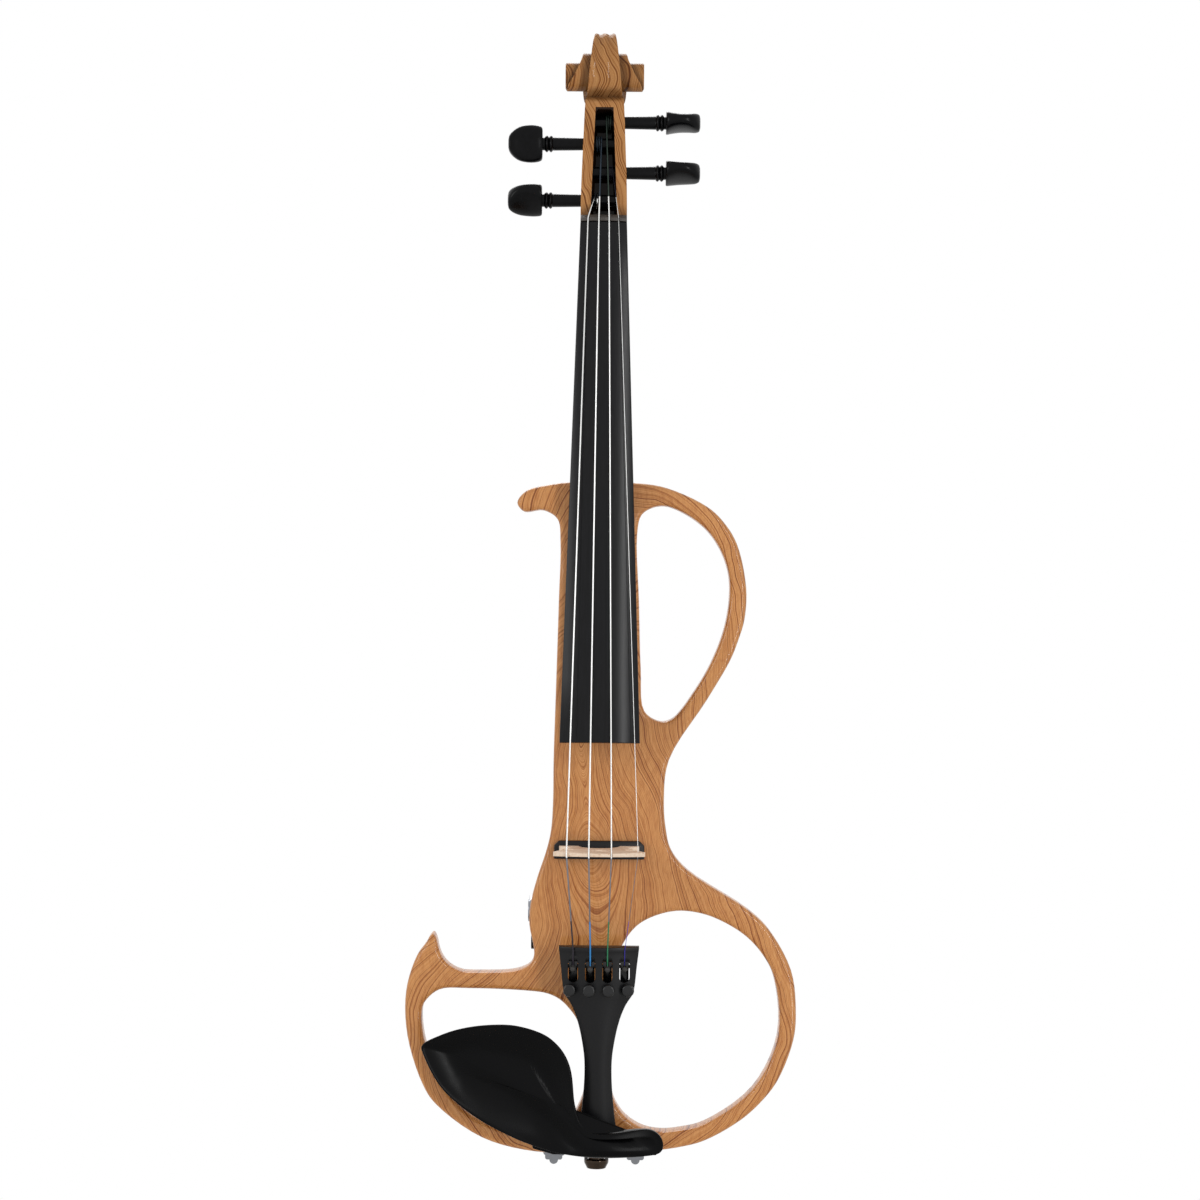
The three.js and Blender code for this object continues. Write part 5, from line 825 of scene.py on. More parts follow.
to_neck = Matrix.Rotation(-NECK_ANGLE, 4, "X")
BEADS_END = SHAFT_REACH + BEAD_PITCH * 2
HEAD_START = BEADS_END + BEAD_GROOVE * 0.35
SHAFT_CHAMFER = 0.4
beads = [
    (at + BEAD_PITCH * share, BEAD_GROOVE + (BEAD_RADIUS - BEAD_GROOVE) * sin(pi * share))
    for at in (SHAFT_REACH, SHAFT_REACH + BEAD_PITCH) for share in (0, 0.12, 0.25, 0.4, 0.5, 0.6, 0.75, 0.88)
]
for name, along in peg_places.items():
    z = NUT_REAR + along
    start = -(pegbox_half(z) - SHAFT_CHAMFER)
    peg = turned(f"tuning_peg_{name}", [
        (start, 0), (start, peg_taper(start) - SHAFT_CHAMFER), (start + SHAFT_CHAMFER, peg_taper(start)),
        (SHAFT_REACH - 0.3, SHAFT_RADIUS), (SHAFT_REACH, BEAD_GROOVE), *beads,
        (BEADS_END, BEAD_GROOVE), (HEAD_START + BEAD_PITCH, BEAD_GROOVE), (HEAD_START + BEAD_PITCH, 0),
    ])
    carve(peg, peg_head(name, HEAD_START), operation="UNION")
    if peg_sides[name] < 0:
        peg.data.transform(Matrix.Diagonal((-1, 1, 1, 1)))
        tidy_mesh(peg)
    put(peg, to_neck, *on_neck(0, PEG_DEPTH, z))
    dress(peg, f"peg_{name}", polished_black)

# Strings: steel cores wound flat with bright wire, each over the nut, the board, the bridge and the
# tailpiece's ridge to a ball behind its hook. Both ends are wrapped in coloured silk.
string_gauges = {"g": 0.8, "d": 0.8, "a": 0.7, "e": 0.3}
string_actions = {"g": 5.5, "d": 5, "a": 4.5, "e": 3.5}
nut_spread_shares = {"g": -0.51, "d": -0.155, "a": 0.178, "e": 0.485}
bridge_spread_shares = {"g": -0.45, "d": -0.139, "a": 0.177, "e": 0.55}
tail_spread_shares = {"g": -0.5, "d": -0.1667, "a": 0.1667, "e": 0.5}
STRING_LENGTH = NECK_LENGTH + BODY_LENGTH * 0.5527
NUT_CREST = NECK_LENGTH + GAP + NUT_THICKNESS * 0.45
NUT_SPREAD, NUT_RISE, GROOVE_DEPTH = 16, 0.9, 0.5
wrap_starts = {"g": -4.6, "d": -1.5, "a": 1, "e": 4.4}
wrap_sides = {"g": 1, "d": -1, "a": 1, "e": -1}
WRAP_TURNS, WRAP_PITCH_GAP = 2.25, 0.46
TAIL_CENTRE, TAIL_END, TAIL_LENGTH = 0.5, BODY_BOTTOM + 9, BODY_LENGTH * 0.2883
TAIL_TOP = TAIL_END + TAIL_LENGTH
TAIL_TOP_HEIGHT, TAIL_END_HEIGHT, TAIL_TOP_HALF, TAIL_ARCH = 24.3, 14, 20.7, 5.4
RIDGE_HEIGHT, TUNER_SPREAD, BRIDGE_SPREAD = 1.2, 26.6, 36.7
BALL_RADIUS, HOOK_THICKNESS = 1.5, 2.2
SILK_TOP, SILK_START, BRIDGE_SHADE_GAP = 133, 509, 1.5
silk_colours = {"g": "#1B1420", "d": "#2F83C4", "a": "#23774F", "e": "#3A2FB0"}
# Painted shade: the silk at the peg end takes a darker copy of each string's silk colour.
shaded_peg_silk_colours = {"g": "#110E14", "d": "#12222F", "a": "#10241A", "e": "#151228"}
tail_shares = [
    (0, 1, 1, 0.8, 0), (0.008, 1, 1, 0.9, 1), (0.022, 0.995, 1, 1, 1), (0.032, 0.99, 1, 1, 0),
    (0.1, 0.95, 0.96, 1, 0), (0.2, 0.9, 0.9, 0.95, 0), (0.24, 0.86, 0.86, 0.92, 0),
    (0.3, 0.68, 0.75, 0.9, 0), (0.37, 0.54, 0.65, 0.9, 0), (0.47, 0.42, 0.55, 0.9, 0),
    (0.58, 0.345, 0.5, 0.9, 0), (0.7, 0.345, 0.5, 0.95, 0), (0.86, 0.41, 0.55, 1, 0),
    (0.96, 0.47, 0.6, 1, 0), (1, 0.45, 0.55, 0.8, 0),
]
tail_shares = flowing(tail_shares, 4, False)
tuner_shares = {
    "pocket_high": 0.0277, "slot_high": 0.0435, "pivot": 0.1047, "slot_low": 0.1848, "screw": 0.2213,
    "pocket_low": 0.2717, "ridge": 0.015,
}


def peg_run(name):
    """Straight run of a string from the nut's crest to the front of its peg, in the neck's frame."""
    gauge = string_gauges[name]
    x = nut_spread_shares[name] * NUT_SPREAD
    crest = Vector((x, -board_top(x, NUT_CREST) - NUT_RISE + GROOVE_DEPTH - gauge / 2, NUT_CREST))
    start = wrap_starts[name]
    radius = peg_taper(peg_sides[name] * start) + GAP + gauge / 2
    dy, dz = PEG_DEPTH - crest.y, NUT_REAR + peg_places[name] - crest.z
    distance = hypot(dy, dz)
    lean = atan2(dy, dz) - asin(radius / distance)
    length = sqrt(distance ** 2 - radius ** 2)
    touch = Vector((start, crest.y + sin(lean) * length, crest.z + cos(lean) * length))
    return crest, touch, radius, gauge


def winding_points(name, per_turn=64):
    """Turns of a string's end round its peg, from its straight run to its hole."""
    crest, touch, radius, gauge = peg_run(name)
    axis_y, axis_z = PEG_DEPTH, NUT_REAR + peg_places[name]
    start = atan2(touch.z - axis_z, touch.y - axis_y)
    steps = round(WRAP_TURNS * per_turn)
    travel = wrap_sides[name] * (gauge + WRAP_PITCH_GAP) * WRAP_TURNS

    def wound(share, out):
        turn, x = start - share * WRAP_TURNS * tau, touch.x + share * travel
        return Vector((x, axis_y + out * cos(turn), axis_z + out * sin(turn)))

    points = [touch - (touch - crest).normalized() * gauge]
    points += [wound(i / steps, radius) for i in range(steps + 1)]
    points.append(wound(1, radius - gauge - GAP))
    return [Vector(on_neck(*p)) for p in points]


def wire(name, points, radius, rounds=5):
    """Round wire along points in millimetres, turned into a closed mesh."""
    line = bpy.data.curves.new(name, "CURVE")
    line.dimensions = "3D"
    spline = line.splines.new("POLY")
    spline.points.add(len(points) - 1)
    for spot, p in zip(spline.points, points):
        spot.co = (*(Vector(p) * MM), 1)
    line.bevel_depth = radius * MM
    line.bevel_resolution = rounds
    line.use_fill_caps = True
    made = linked(name, line)
    choose(made)
    bpy.ops.object.convert(target="MESH")
    made = bpy.context.object
    tidy_mesh(made)
    return made


def tail_value(z, column):
    columns = list(zip(*tail_shares))
    return float(np.interp((TAIL_TOP - z) / TAIL_LENGTH, columns[0], columns[column]))


def tail_height(z):
    return TAIL_TOP_HEIGHT + (TAIL_END_HEIGHT - TAIL_TOP_HEIGHT) * (TAIL_TOP - z) / TAIL_LENGTH


def tail_surface(x, z):
    half = TAIL_TOP_HALF * tail_value(z, 1)
    return BODY_FRONT - tail_height(z) + TAIL_ARCH * tail_value(z, 2) * (x / half) ** 2


def tuner_line(name):
    return TAIL_TOP - TAIL_LENGTH * tuner_shares[name]


def tuner_x(name):
    return TAIL_CENTRE + tail_spread_shares[name] * TUNER_SPREAD


def bridge_point(name):
    crest, _, _, gauge = peg_run(name)
    x = bridge_spread_shares[name] * BRIDGE_SPREAD
    end_x = crest.x + (x - crest.x) * BOARD_LENGTH / STRING_LENGTH
    end_y = -board_top(end_x, BOARD_END) - string_actions[name] - gauge / 2
    y = crest.y + (end_y - crest.y) * STRING_LENGTH / BOARD_LENGTH
    return Vector(on_neck(x, y, NECK_LENGTH - STRING_LENGTH))


HOOK_FACE = tuner_line("pivot") + 1


def string_route(name):
    crest, touch, _, gauge = peg_run(name)
    short = touch - (touch - crest).normalized() * (gauge + GAP)
    x, offset = tuner_x(name), tuner_x(name) - TAIL_CENTRE
    ball_z = HOOK_FACE - GAP - BALL_RADIUS
    ball_y = tail_surface(offset, ball_z) - gauge
    over = tail_surface(offset, tuner_line("ridge")) - RIDGE_HEIGHT - GAP - gauge / 2
    tail = [(x, over, tuner_line("ridge")), (x, ball_y, HOOK_FACE + HOOK_THICKNESS), (x, ball_y, ball_z)]
    return [Vector(p) for p in (on_neck(*short), on_neck(*crest), bridge_point(name), *tail)]


def string_material(name):
    """Bright flat winding over the board, painted darker past the bridge as shade, with silk at both
    ends, the silk painted darker at the peg end as shade.
    """
    look = Look(f"wound_string_{name}_with_silk")
    height = look.along("Z")
    high = look.math("GREATER_THAN", height, SILK_START * MM)
    silk = look.math("MAXIMUM", look.math("LESS_THAN", height, SILK_TOP * MM), high)
    # Painted shade: the winding past the bridge is coloured a darker grey.
    painted_shade_behind_bridge = look.math("LESS_THAN", height, (BRIDGE_PLACE - BRIDGE_SHADE_GAP) * MM)
    thread = look.add(
        "TexWave", {"Scale": 700, "Vector": look.place}, "Fac", wave_type="BANDS", bands_direction="Z"
    )
    silk_colour_and_shade = look.mixed(high, silk_colours[name], shaded_peg_silk_colours[name])
    wrapped = look.mixed(silk, look.mixed(painted_shade_behind_bridge, "#E4E4E2", "#77777C"), silk_colour_and_shade)
    with_ball = look.mixed(look.math("LESS_THAN", height, HOOK_FACE * MM), wrapped, "#2A2826")
    return look.done(
        with_ball, look.spread(silk, 0.3, 0.65), metallic=look.spread(silk, 1, 0),
        normal=look.bump(thread, 0.2, 0.00004),
    )


tops = [bridge_point(name) for name in string_gauges]
BRIDGE_PLACE = sum(p.z for p in tops) / len(tops)
for name, gauge in string_gauges.items():
    route = string_route(name)
    line = wire(f"violin_string_{name}", route, gauge / 2, 6)
    bpy.ops.mesh.primitive_uv_sphere_add(
        segments=32, ring_count=16, radius=BALL_RADIUS * MM, location=route[-1] * MM
    )
    bpy.ops.object.transform_apply()
    carve(line, bpy.context.object, operation="UNION")
    material, bend = string_material(name), (f"tuner_lever_{name}", route[2] * MM, route[4] * MM)
    dress(line, f"string_{name}", material, 60, bend)
    winding = wire(f"peg_winding_{name}", winding_points(name), gauge / 2)
    dress(winding, f"winding_{name}", material, 60)

# Bridge: a thin plate of pale maple, cut by hand with a heart, side kidneys and two feet, tapering to
# its crown, where each string lies in a small notch. It is left bare, with brown flecks.
FOOT_WIDTH, FOOT_THICKNESS, CROWN_THICKNESS = 41.6, 4.6, 1.7
CROWN_RADIUS, SHOULDER_HALF, BRIDGE_CENTRE, PICKUP_DEPTH = 42, 23.6, 0.2, 4
BRIDGE_FOOT = BODY_FRONT - GAP - PICKUP_DEPTH - GAP
BRIDGE_HEIGHT = BRIDGE_FOOT - (min(p.y for p in tops) + GROOVE_DEPTH - string_gauges["d"] / 2)
arch_shares = [(0, 0.3), (0.07, 0.293), (0.13, 0.27), (0.19, 0.21), (0.23, 0.14), (0.255, 0.05), (0.26, 0)]
side_shares = [
    (0.5, 0.09), (0.4, 0.16), (0.36, 0.26), (0.385, 0.36), (0.42, 0.4), (0.4, 0.46), (0.33, 0.47),
    (0.31, 0.53), (0.37, 0.58), (0.48, 0.59),
]
heart_shares = [(0, 0.68), (0.05, 0.72), (0.1, 0.7), (0.1, 0.64), (0.045, 0.58), (0.045, 0.52), (0, 0.5)]
look = Look("bare_flecked_maple")
flecks = look.noise(1, 2, look.stretched((260, 1500, 900)))
bare_maple = look.done(look.ramp(flecks, (0.28, "#C08A60"), (0.36, "#EBCFB4"), (0.7, "#F3DEC8")), 0.55)


def on_bridge(shares, steps):
    return [(x * FOOT_WIDTH, y * BRIDGE_HEIGHT) for x, y in flowing(shares, steps, False)]


def crown_drop(x):
    return CROWN_RADIUS - sqrt(CROWN_RADIUS ** 2 - x ** 2)


half_outline = on_bridge(arch_shares, 4) + [(0.5 * FOOT_WIDTH, 0)] + on_bridge(side_shares, 5)
crown_places = [SHOULDER_HALF * (1 - i / 12) for i in range(12)]
half_outline += [(x, BRIDGE_HEIGHT - crown_drop(x)) for x in crown_places]
outline = half_outline + [(0, BRIDGE_HEIGHT)] + [(-x, y) for x, y in reversed(half_outline[1:])]
heart = on_bridge(heart_shares, 4)
heart += [(-x, y) for x, y in reversed(heart[1:-1])]
loops = [outline, heart]
points = []
for side in (-1, 1):
    for x, y in outline + heart:
        thin = 1 + (CROWN_THICKNESS / FOOT_THICKNESS - 1) * y / BRIDGE_HEIGHT
        points.append((BRIDGE_CENTRE + x, BRIDGE_FOOT - y, BRIDGE_PLACE + side * FOOT_THICKNESS / 2 * thin))
count = len(outline + heart)
bridge = object_from("string_bridge", points, flat_faces(loops, 0, count) + walls(loops, 0, count))
dissolve(bridge, 0.5)
bevel(bridge, 0.25, 2, 60)
for name, gauge in string_gauges.items():
    carve(bridge, wire(f"notch_{name}", string_route(name)[1:4], gauge / 2 + GAP, 3))
dress(bridge, "bridge", bare_maple)

# Pickup: a block of black plastic under the bridge's feet, held down by the pull of the strings. It is
# moulded with a satin face, and its corners and edges are lightly rounded.
look = Look("satin_black_moulded_plastic")
black_moulding = look.done("#0E0E10", 0.4, 0.25, normal=look.bump(look.noise(2500, 1), 0.06, 0.00004))
eased_piece("pickup_block", "bridge_pickup", "black_plastic", black_moulding, 0.5)

# Tailpiece: moulded in black with a wide arched top that narrows to a waist. It is hollow under its
# tuners, with a slot and a screw hole for each string and a raised rail along its upper end.
SIDE_DEPTH, PLATE_THICKNESS, TAIL_WALL = 6.4, 2.6, 1.2
SLOT_HALF, SLOT_ROUND, GUT_RADIUS, GUT_HALF_SPREAD = 2.65, 2.6, 0.9, 5.4
ADJUSTER_RADIUS, ADJUSTER_LENGTH, ADJUSTER_INSET = 2.2, 6, 4
PIVOT_RADIUS, PIVOT_DEPTH, SCREW_RADIUS, SCREW_SPREAD = 1, 8, 1.3, 30.2
PIVOT_Y = BODY_FRONT - tail_height(tuner_line("pivot")) + PIVOT_DEPTH
GUT_OVER_SADDLE, SADDLE_REACH = BODY_FRONT - 4 - GAP - GUT_RADIUS, 3.5
GUT_START_Y = BODY_FRONT - tail_height(TAIL_END) + TAIL_ARCH * 0.4 + GUT_RADIUS + ADJUSTER_RADIUS


def tail_bottom(z):
    return BODY_FRONT - tail_height(z) + TAIL_ARCH * tail_value(z, 2) + SIDE_DEPTH * tail_value(z, 3)


def tail_ring(z, inset, lower, ridge, bottom, steps=32):
    half = TAIL_TOP_HALF * tail_value(z, 1) - inset
    xs = [half * (1 - 2 * i / steps) for i in range(steps + 1)]
    top = [(TAIL_CENTRE + x, tail_surface(x, z) + lower - ridge, z) for x in xs]
    return [(TAIL_CENTRE + half, bottom, z), *top, (TAIL_CENTRE - half, bottom, z)]


def gut_point(side, along):
    slope = (GUT_START_Y - GUT_OVER_SADDLE) / (TAIL_END - BODY_BOTTOM - SADDLE_REACH)
    return Vector((side * GUT_HALF_SPREAD, GUT_START_Y + slope * along, TAIL_END + along))


tailpiece = skin("string_tailpiece", [
    tail_ring(z, 0, 0, row[4] * RIDGE_HEIGHT, tail_bottom(z))
    for row in tail_shares for z in [TAIL_TOP - row[0] * TAIL_LENGTH]
])
bevel(tailpiece, 0.7, 4, 48)
pocket_low, pocket_high = tuner_line("pocket_low"), tuner_line("pocket_high")
tail_tools = [skin("tail_pocket", [
    tail_ring(z, TAIL_WALL, PLATE_THICKNESS, 0, tail_bottom(z) + 2)
    for z in np.linspace(pocket_low, pocket_high, 12)
])]
slot_low, slot_high, screw_line, pivot_line = [
    tuner_line(name) for name in ("slot_low", "slot_high", "screw", "pivot")
]
deep = BODY_FRONT - TAIL_TOP_HEIGHT
for name, gauge in string_gauges.items():
    x, screw_x = tuner_x(name), TAIL_CENTRE + tail_spread_shares[name] * SCREW_SPREAD
    tail_tools += [
        box_tool((x - SLOT_HALF, deep - 2, slot_low), (x + SLOT_HALF, deep + 20, slot_high), SLOT_ROUND),
        rod_on(1, deep - 2, PIVOT_Y + PIVOT_RADIUS, (screw_x, 0, screw_line), SCREW_RADIUS + GAP),
        wire(f"rail_notch_{name}", string_route(name)[2:5], gauge / 2 + GAP, 3),
    ]
tail_tools.append(rod_on(0, TAIL_CENTRE - 23, TAIL_CENTRE + 23, (0, PIVOT_Y, pivot_line), PIVOT_RADIUS + GAP))
SHELL_LEFT = 0.8


def shell_depth(side):
    return tail_surface(side * GUT_HALF_SPREAD - TAIL_CENTRE, TAIL_END + ADJUSTER_INSET) + SHELL_LEFT


for side in (-1, 1):
    near = gut_point(side, ADJUSTER_INSET - GAP)
    far = gut_point(side, ADJUSTER_INSET + ADJUSTER_LENGTH + 2)
    half = ADJUSTER_RADIUS + GAP
    front = max(min(near.y, far.y) - half, shell_depth(side))
    tail_tools += [
        rod_tool(gut_point(side, -2), gut_point(side, ADJUSTER_INSET), GUT_RADIUS + GAP),
        box_tool((near.x - half, front, near.z), (near.x + half, tail_bottom(TAIL_END) + SIDE_DEPTH, far.z)),
    ]
carve(tailpiece, *tail_tools)
dress(tailpiece, "tailpiece", black_moulding)

# Fine tuners: four steel levers on one rod, each with a plate behind the upper end of its slot, and
# each worked by a turned screw with a smooth domed head that stands on the tailpiece. All are plated
# black, with a dark shine that is sharpest on the domes.
SCREW_HEAD_RADIUS, SCREW_HEAD_HEIGHT, HEAD_ROUND = 3.2, 3.2, 0.9
PLATE_AHEAD, PLATE_DEPTH, PLATE_RISE, PLATE_HALF, PLATE_SHORT = 0.8, 1, 1.5, 3, 0.4


def even_material(name, colour, scale, detail, smoothest, roughest, **more):
    """Material of one colour whose roughness wavers a little."""
    look = Look(name)
    return look.done(colour, look.spread(look.noise(scale, detail), smoothest, roughest), **more)


black_plate = even_material("black_plated_steel", "#0B0B0D", 900, 2, 0.16, 0.26, specular=0.4)
reach = TAIL_TOP_HALF * tail_value(pivot_line, 1) - GAP
pivot = rod_on(0, TAIL_CENTRE - reach, TAIL_CENTRE + reach, (0, PIVOT_Y, pivot_line), PIVOT_RADIUS)
pivot.name = "tuner_pivot_rod"
bevel(pivot, 0.2)
dress(pivot, "tuner_pivot_rod", black_plate)
to_front = Matrix.Rotation(-pi / 2, 4, "Z")
dome = [
    (SCREW_HEAD_HEIGHT - HEAD_ROUND * (1 - sin(a)), SCREW_HEAD_RADIUS - HEAD_ROUND * (1 - cos(a)))
    for a in arc(6)
]
for name in string_gauges:
    lever = eased_copy(f"tuner_lever_{name}", f"tuner_lever_{name}", 0.2)
    x, front = tuner_x(name), PIVOT_Y - PLATE_AHEAD
    carve(lever, box_tool(
        (x - PLATE_HALF, front, pivot_line + PLATE_RISE),
        (x + PLATE_HALF, front + PLATE_DEPTH, slot_high - PLATE_SHORT),
    ), operation="UNION")
    dress(lever, f"tuner_lever_{name}", black_plate)
    offset = tail_spread_shares[name] * SCREW_SPREAD
    seat = tail_surface(max(abs(offset) - SCREW_HEAD_RADIUS, 0), screw_line) - GAP
    depth = PIVOT_Y + PIVOT_RADIUS - GAP - seat
    screw = turned(f"fine_tuner_screw_{name}", [
        (-depth, 0), (-depth, SCREW_RADIUS - 0.3), (0.3 - depth, SCREW_RADIUS), (0, SCREW_RADIUS),
        (0, SCREW_HEAD_RADIUS - 0.5), (0.4, SCREW_HEAD_RADIUS), *dome, (SCREW_HEAD_HEIGHT, 0),
    ])
    put(screw, to_front, TAIL_CENTRE + offset, seat, screw_line)
    dress(screw, f"tuner_screw_{name}", black_plate)

# Saddle and tailgut: a black hardwood strip let into the bottom edge, its front rounded by file, and
# a loop of black nylon cord over it. Two turned brass sleeves hold the cord's ends in the tailpiece.
eased_piece("edge_saddle", "saddle", "ebony", polished_black, 0.6, 40, angle=30, segments=4)
SADDLE_ROUND, GUT_LOOP_DROP, SHELL_HALF, SHELL_REACH = 1.4, 2, 4, 12
look = Look("black_nylon_cord")
lay = look.add("TexWave", {"Scale": 500, "Vector": look.place}, "Fac", bands_direction="DIAGONAL")
black_cord = look.done("#0C0C0B", 0.45, 0.3, normal=look.bump(lay, 0.2, 0.00005))


def gut_side(side):
    bend = SADDLE_ROUND + GUT_RADIUS
    low = BODY_BOTTOM - GUT_LOOP_DROP
    return [gut_point(side, ADJUSTER_INSET + ADJUSTER_LENGTH)] + [
        (side * GUT_HALF_SPREAD, GUT_OVER_SADDLE + bend * share, z) for share, z in (
            (0, BODY_BOTTOM + SADDLE_REACH), (0, BODY_BOTTOM + SADDLE_ROUND * 0.6),
            (0.08, low + GUT_RADIUS * 1.7), (0.3, low + GUT_RADIUS * 0.8), (0.6, low + GUT_RADIUS * 0.2),
            (1, low),
        )
    ]


def shell_tool(side):
    """Box over one cord end that keeps it and its sleeve behind the tailpiece's front."""
    x, depth = side * GUT_HALF_SPREAD, shell_depth(side)
    return box_tool(
        (x - SHELL_HALF, depth - SHELL_REACH, TAIL_END + 1),
        (x + SHELL_HALF, depth, TAIL_END + ADJUSTER_INSET + SHELL_REACH),
    )


gut_bend = [
    (GUT_HALF_SPREAD * cos(a), GUT_HALF_SPREAD * sin(a), BODY_BOTTOM - GUT_LOOP_DROP)
    for a in reversed(arc(48, pi))
]
cord = wire("tail_cord", gut_side(-1) + gut_bend + gut_side(1)[::-1], GUT_RADIUS, 8)
carve(cord, shell_tool(-1), shell_tool(1))
dress(cord, "tailgut", black_cord, 60)
turned_brass = even_material("turned_brass", "#C79F55", 1200, 2, 0.22, 0.36, metallic=1)
for side, name in ((-1, "left"), (1, "right")):
    end = gut_point(side, ADJUSTER_INSET + ADJUSTER_LENGTH - 0.6)
    sleeve = rod_tool(gut_point(side, ADJUSTER_INSET), end, ADJUSTER_RADIUS)
    sleeve.name = f"cord_sleeve_{name}"
    bevel(sleeve, 0.3)
    carve(sleeve, rod_tool(gut_point(side, 0), gut_point(side, 14), GUT_RADIUS + GAP), shell_tool(side))
    dress(sleeve, f"tailgut_adjuster_{name}", turned_brass)

# End button: turned metal with a smoky chrome finish, a dark mirror. Its flat head widens toward the
# body, and its tapered shaft is pushed into a hole in the bottom edge.
dark_chrome = even_material("dark_chrome_plate", "#41372F", 300, 1, 0.08, 0.14, metallic=1)
FACE_RADIUS, RIM_RADIUS, BUTTON_LENGTH, BUTTON_EDGE = 5.2, 6.45, 5.1, 0.7
NECK_RADIUS, SHAFT_TIP = 4.15, BODY_BOTTOM + 22
face_edge = [
    (BUTTON_EDGE * (1 - cos(a)), FACE_RADIUS - BUTTON_EDGE * (1 - sin(a))) for a in arc(6)
]
rim_edge = [
    (BUTTON_LENGTH - BUTTON_EDGE * (1 - sin(a)), RIM_RADIUS - BUTTON_EDGE * (1 - cos(a)))
    for a in arc(6)
]
button = turned("turned_end_button", [
    (0, 0), *face_edge, (BUTTON_LENGTH * 0.5, 6.2), (BUTTON_LENGTH * 0.65, RIM_RADIUS), *rim_edge,
    (BUTTON_LENGTH, NECK_RADIUS), (BODY_BOTTOM - GAP, NECK_RADIUS), (BODY_BOTTOM - GAP, 3.75),
    (SHAFT_TIP - 0.6, 3.06), (SHAFT_TIP, 2.6), (SHAFT_TIP, 0),
])
button.data.transform(Matrix.Rotation(-pi / 2, 4, "Y"))
dress(button, "end_button", dark_chrome)

# Chinrest: carved from hardwood, lacquered satin black, a shallow dished cup at the left and a
# crowned bar across the tailpiece's foot, on two flared feet with cork under them.
CHIN_LEFT, CHIN_WIDTH, CHIN_LOW, CHIN_HEIGHT = -91, 125.4, BODY_BOTTOM + 1.8, 68.2
RIM_HEIGHT, DISH_DEPTH, CROWN_TOP, UNDER_HEIGHT, BAR_UNDER, END_TOP = 23, 6, 29, 13.4, 17.8, 22.5
chin_outline_shares = [
    (0, 0.837), (0.063, 0.902), (0.135, 0.953), (0.223, 0.987), (0.311, 1), (0.375, 0.997),
    (0.429, 0.978), (0.482, 0.948), (0.527, 0.907), (0.573, 0.83), (0.602, 0.748), (0.62, 0.653),
    (0.628, 0.54), (0.633, 0.427), (0.645, 0.337), (0.662, 0.265), (0.693, 0.217), (0.74, 0.2),
    (0.822, 0.205), (0.908, 0.22), (0.953, 0.213), (0.982, 0.179), (0.998, 0.131), (1, 0.07),
    (0.983, 0.032), (0.938, 0.015), (0.864, 0.004), (0.741, 0), (0.638, 0.012), (0.543, 0.041),
    (0.432, 0.107), (0.35, 0.172), (0.255, 0.263), (0.175, 0.364), (0.123, 0.446), (0.077, 0.536),
    (0.036, 0.664), (0.013, 0.758),
]
chin_spine_shares = [(0.2, 0.72), (0.42, 0.6), (0.56, 0.33), (0.66, 0.12), (0.94, 0.11)]
chin_ring_shares = [
    (0.2, 1, 1, 1), (0.5, 0.85, 0.97, 1), (0.8, 0.35, 0.85, 1), (0.94, 0, 0.62, 1), (1, -0.05, 0.25, 1),
    (1, 0.1, 0.05, 0), (0.9, 0.55, 0, 0), (0.5, 1, 0, 0), (0.2, 1, 0, 0),
]


def chin_plan(shares):
    return [(CHIN_LEFT + x * CHIN_WIDTH, CHIN_LOW + z * CHIN_HEIGHT) for x, z in shares]


def eased(value, low, high):
    share = min(max((value - low) / (high - low), 0), 1)
    return share * share * (3 - 2 * share)


def between(a, b, share):
    return a + (b - a) * share


black_lacquer = even_material(
    "satin_black_lacquered_hardwood", "#050506", 350, 2, 0.24, 0.32, specular=0.09
)
chin_spine = [Vector(p) for p in chin_plan(chin_spine_shares)]


def on_spine(p):
    best = chin_spine[0]
    for a, b in zip(chin_spine, chin_spine[1:]):
        share = min(max((p - a).dot(b - a) / (b - a).length_squared, 0), 1)
        near = a + (b - a) * share
        if (near - p).length < (best - p).length:
            best = near
    return best


CUP_END, BAR_START = CHIN_LEFT + CHIN_WIDTH * 0.5, CHIN_LEFT + CHIN_WIDTH * 0.74
chin_rings = []
for out, dish, crown_share, top in chin_ring_shares:
    ring = []
    for x, z in flowing(chin_plan(chin_outline_shares), 2, True):
        middle = on_spine(Vector((x, z)))
        place_x, place_z = between(middle.x, x, out), between(middle.y, z, out)
        bar = eased(place_x, CUP_END, BAR_START)
        crest = between(CROWN_TOP, END_TOP, eased(place_x, BAR_START, CHIN_LEFT + CHIN_WIDTH))
        if top:
            height = between(RIM_HEIGHT - dish * DISH_DEPTH, between(RIM_HEIGHT, crest, crown_share), bar)
        else:
            cup = between(RIM_HEIGHT, UNDER_HEIGHT, dish * 0.9 + 0.1)
            height = between(cup, between(BAR_UNDER, RIM_HEIGHT, (1 - dish) * 0.35), bar)
        ring.append((place_x, BODY_FRONT - height, place_z))
    chin_rings.append(ring)
chinrest = skin("chin_rest", chin_rings)
apply(chinrest, "SUBSURF", levels=2, render_levels=2)
clamp_places = {"left": -22.2, "right": 20.3}
CLAMP_LINE = BODY_BOTTOM - 2.6
CHIN_FOOT_HALF, CHIN_FOOT_LOW, CHIN_FOOT_LENGTH = 9, BODY_BOTTOM + 2.6, 8.9
FOOT_FLARE, FOOT_TRIM, CHIN_CORK = 2, 3, 2.3
CHIN_FOOT_Y = BODY_FRONT - GAP - CHIN_CORK - GAP
TAB_HALF, TAB_THICKNESS, TAB_RISE = 4.5, 1.6, 9
recesses = []


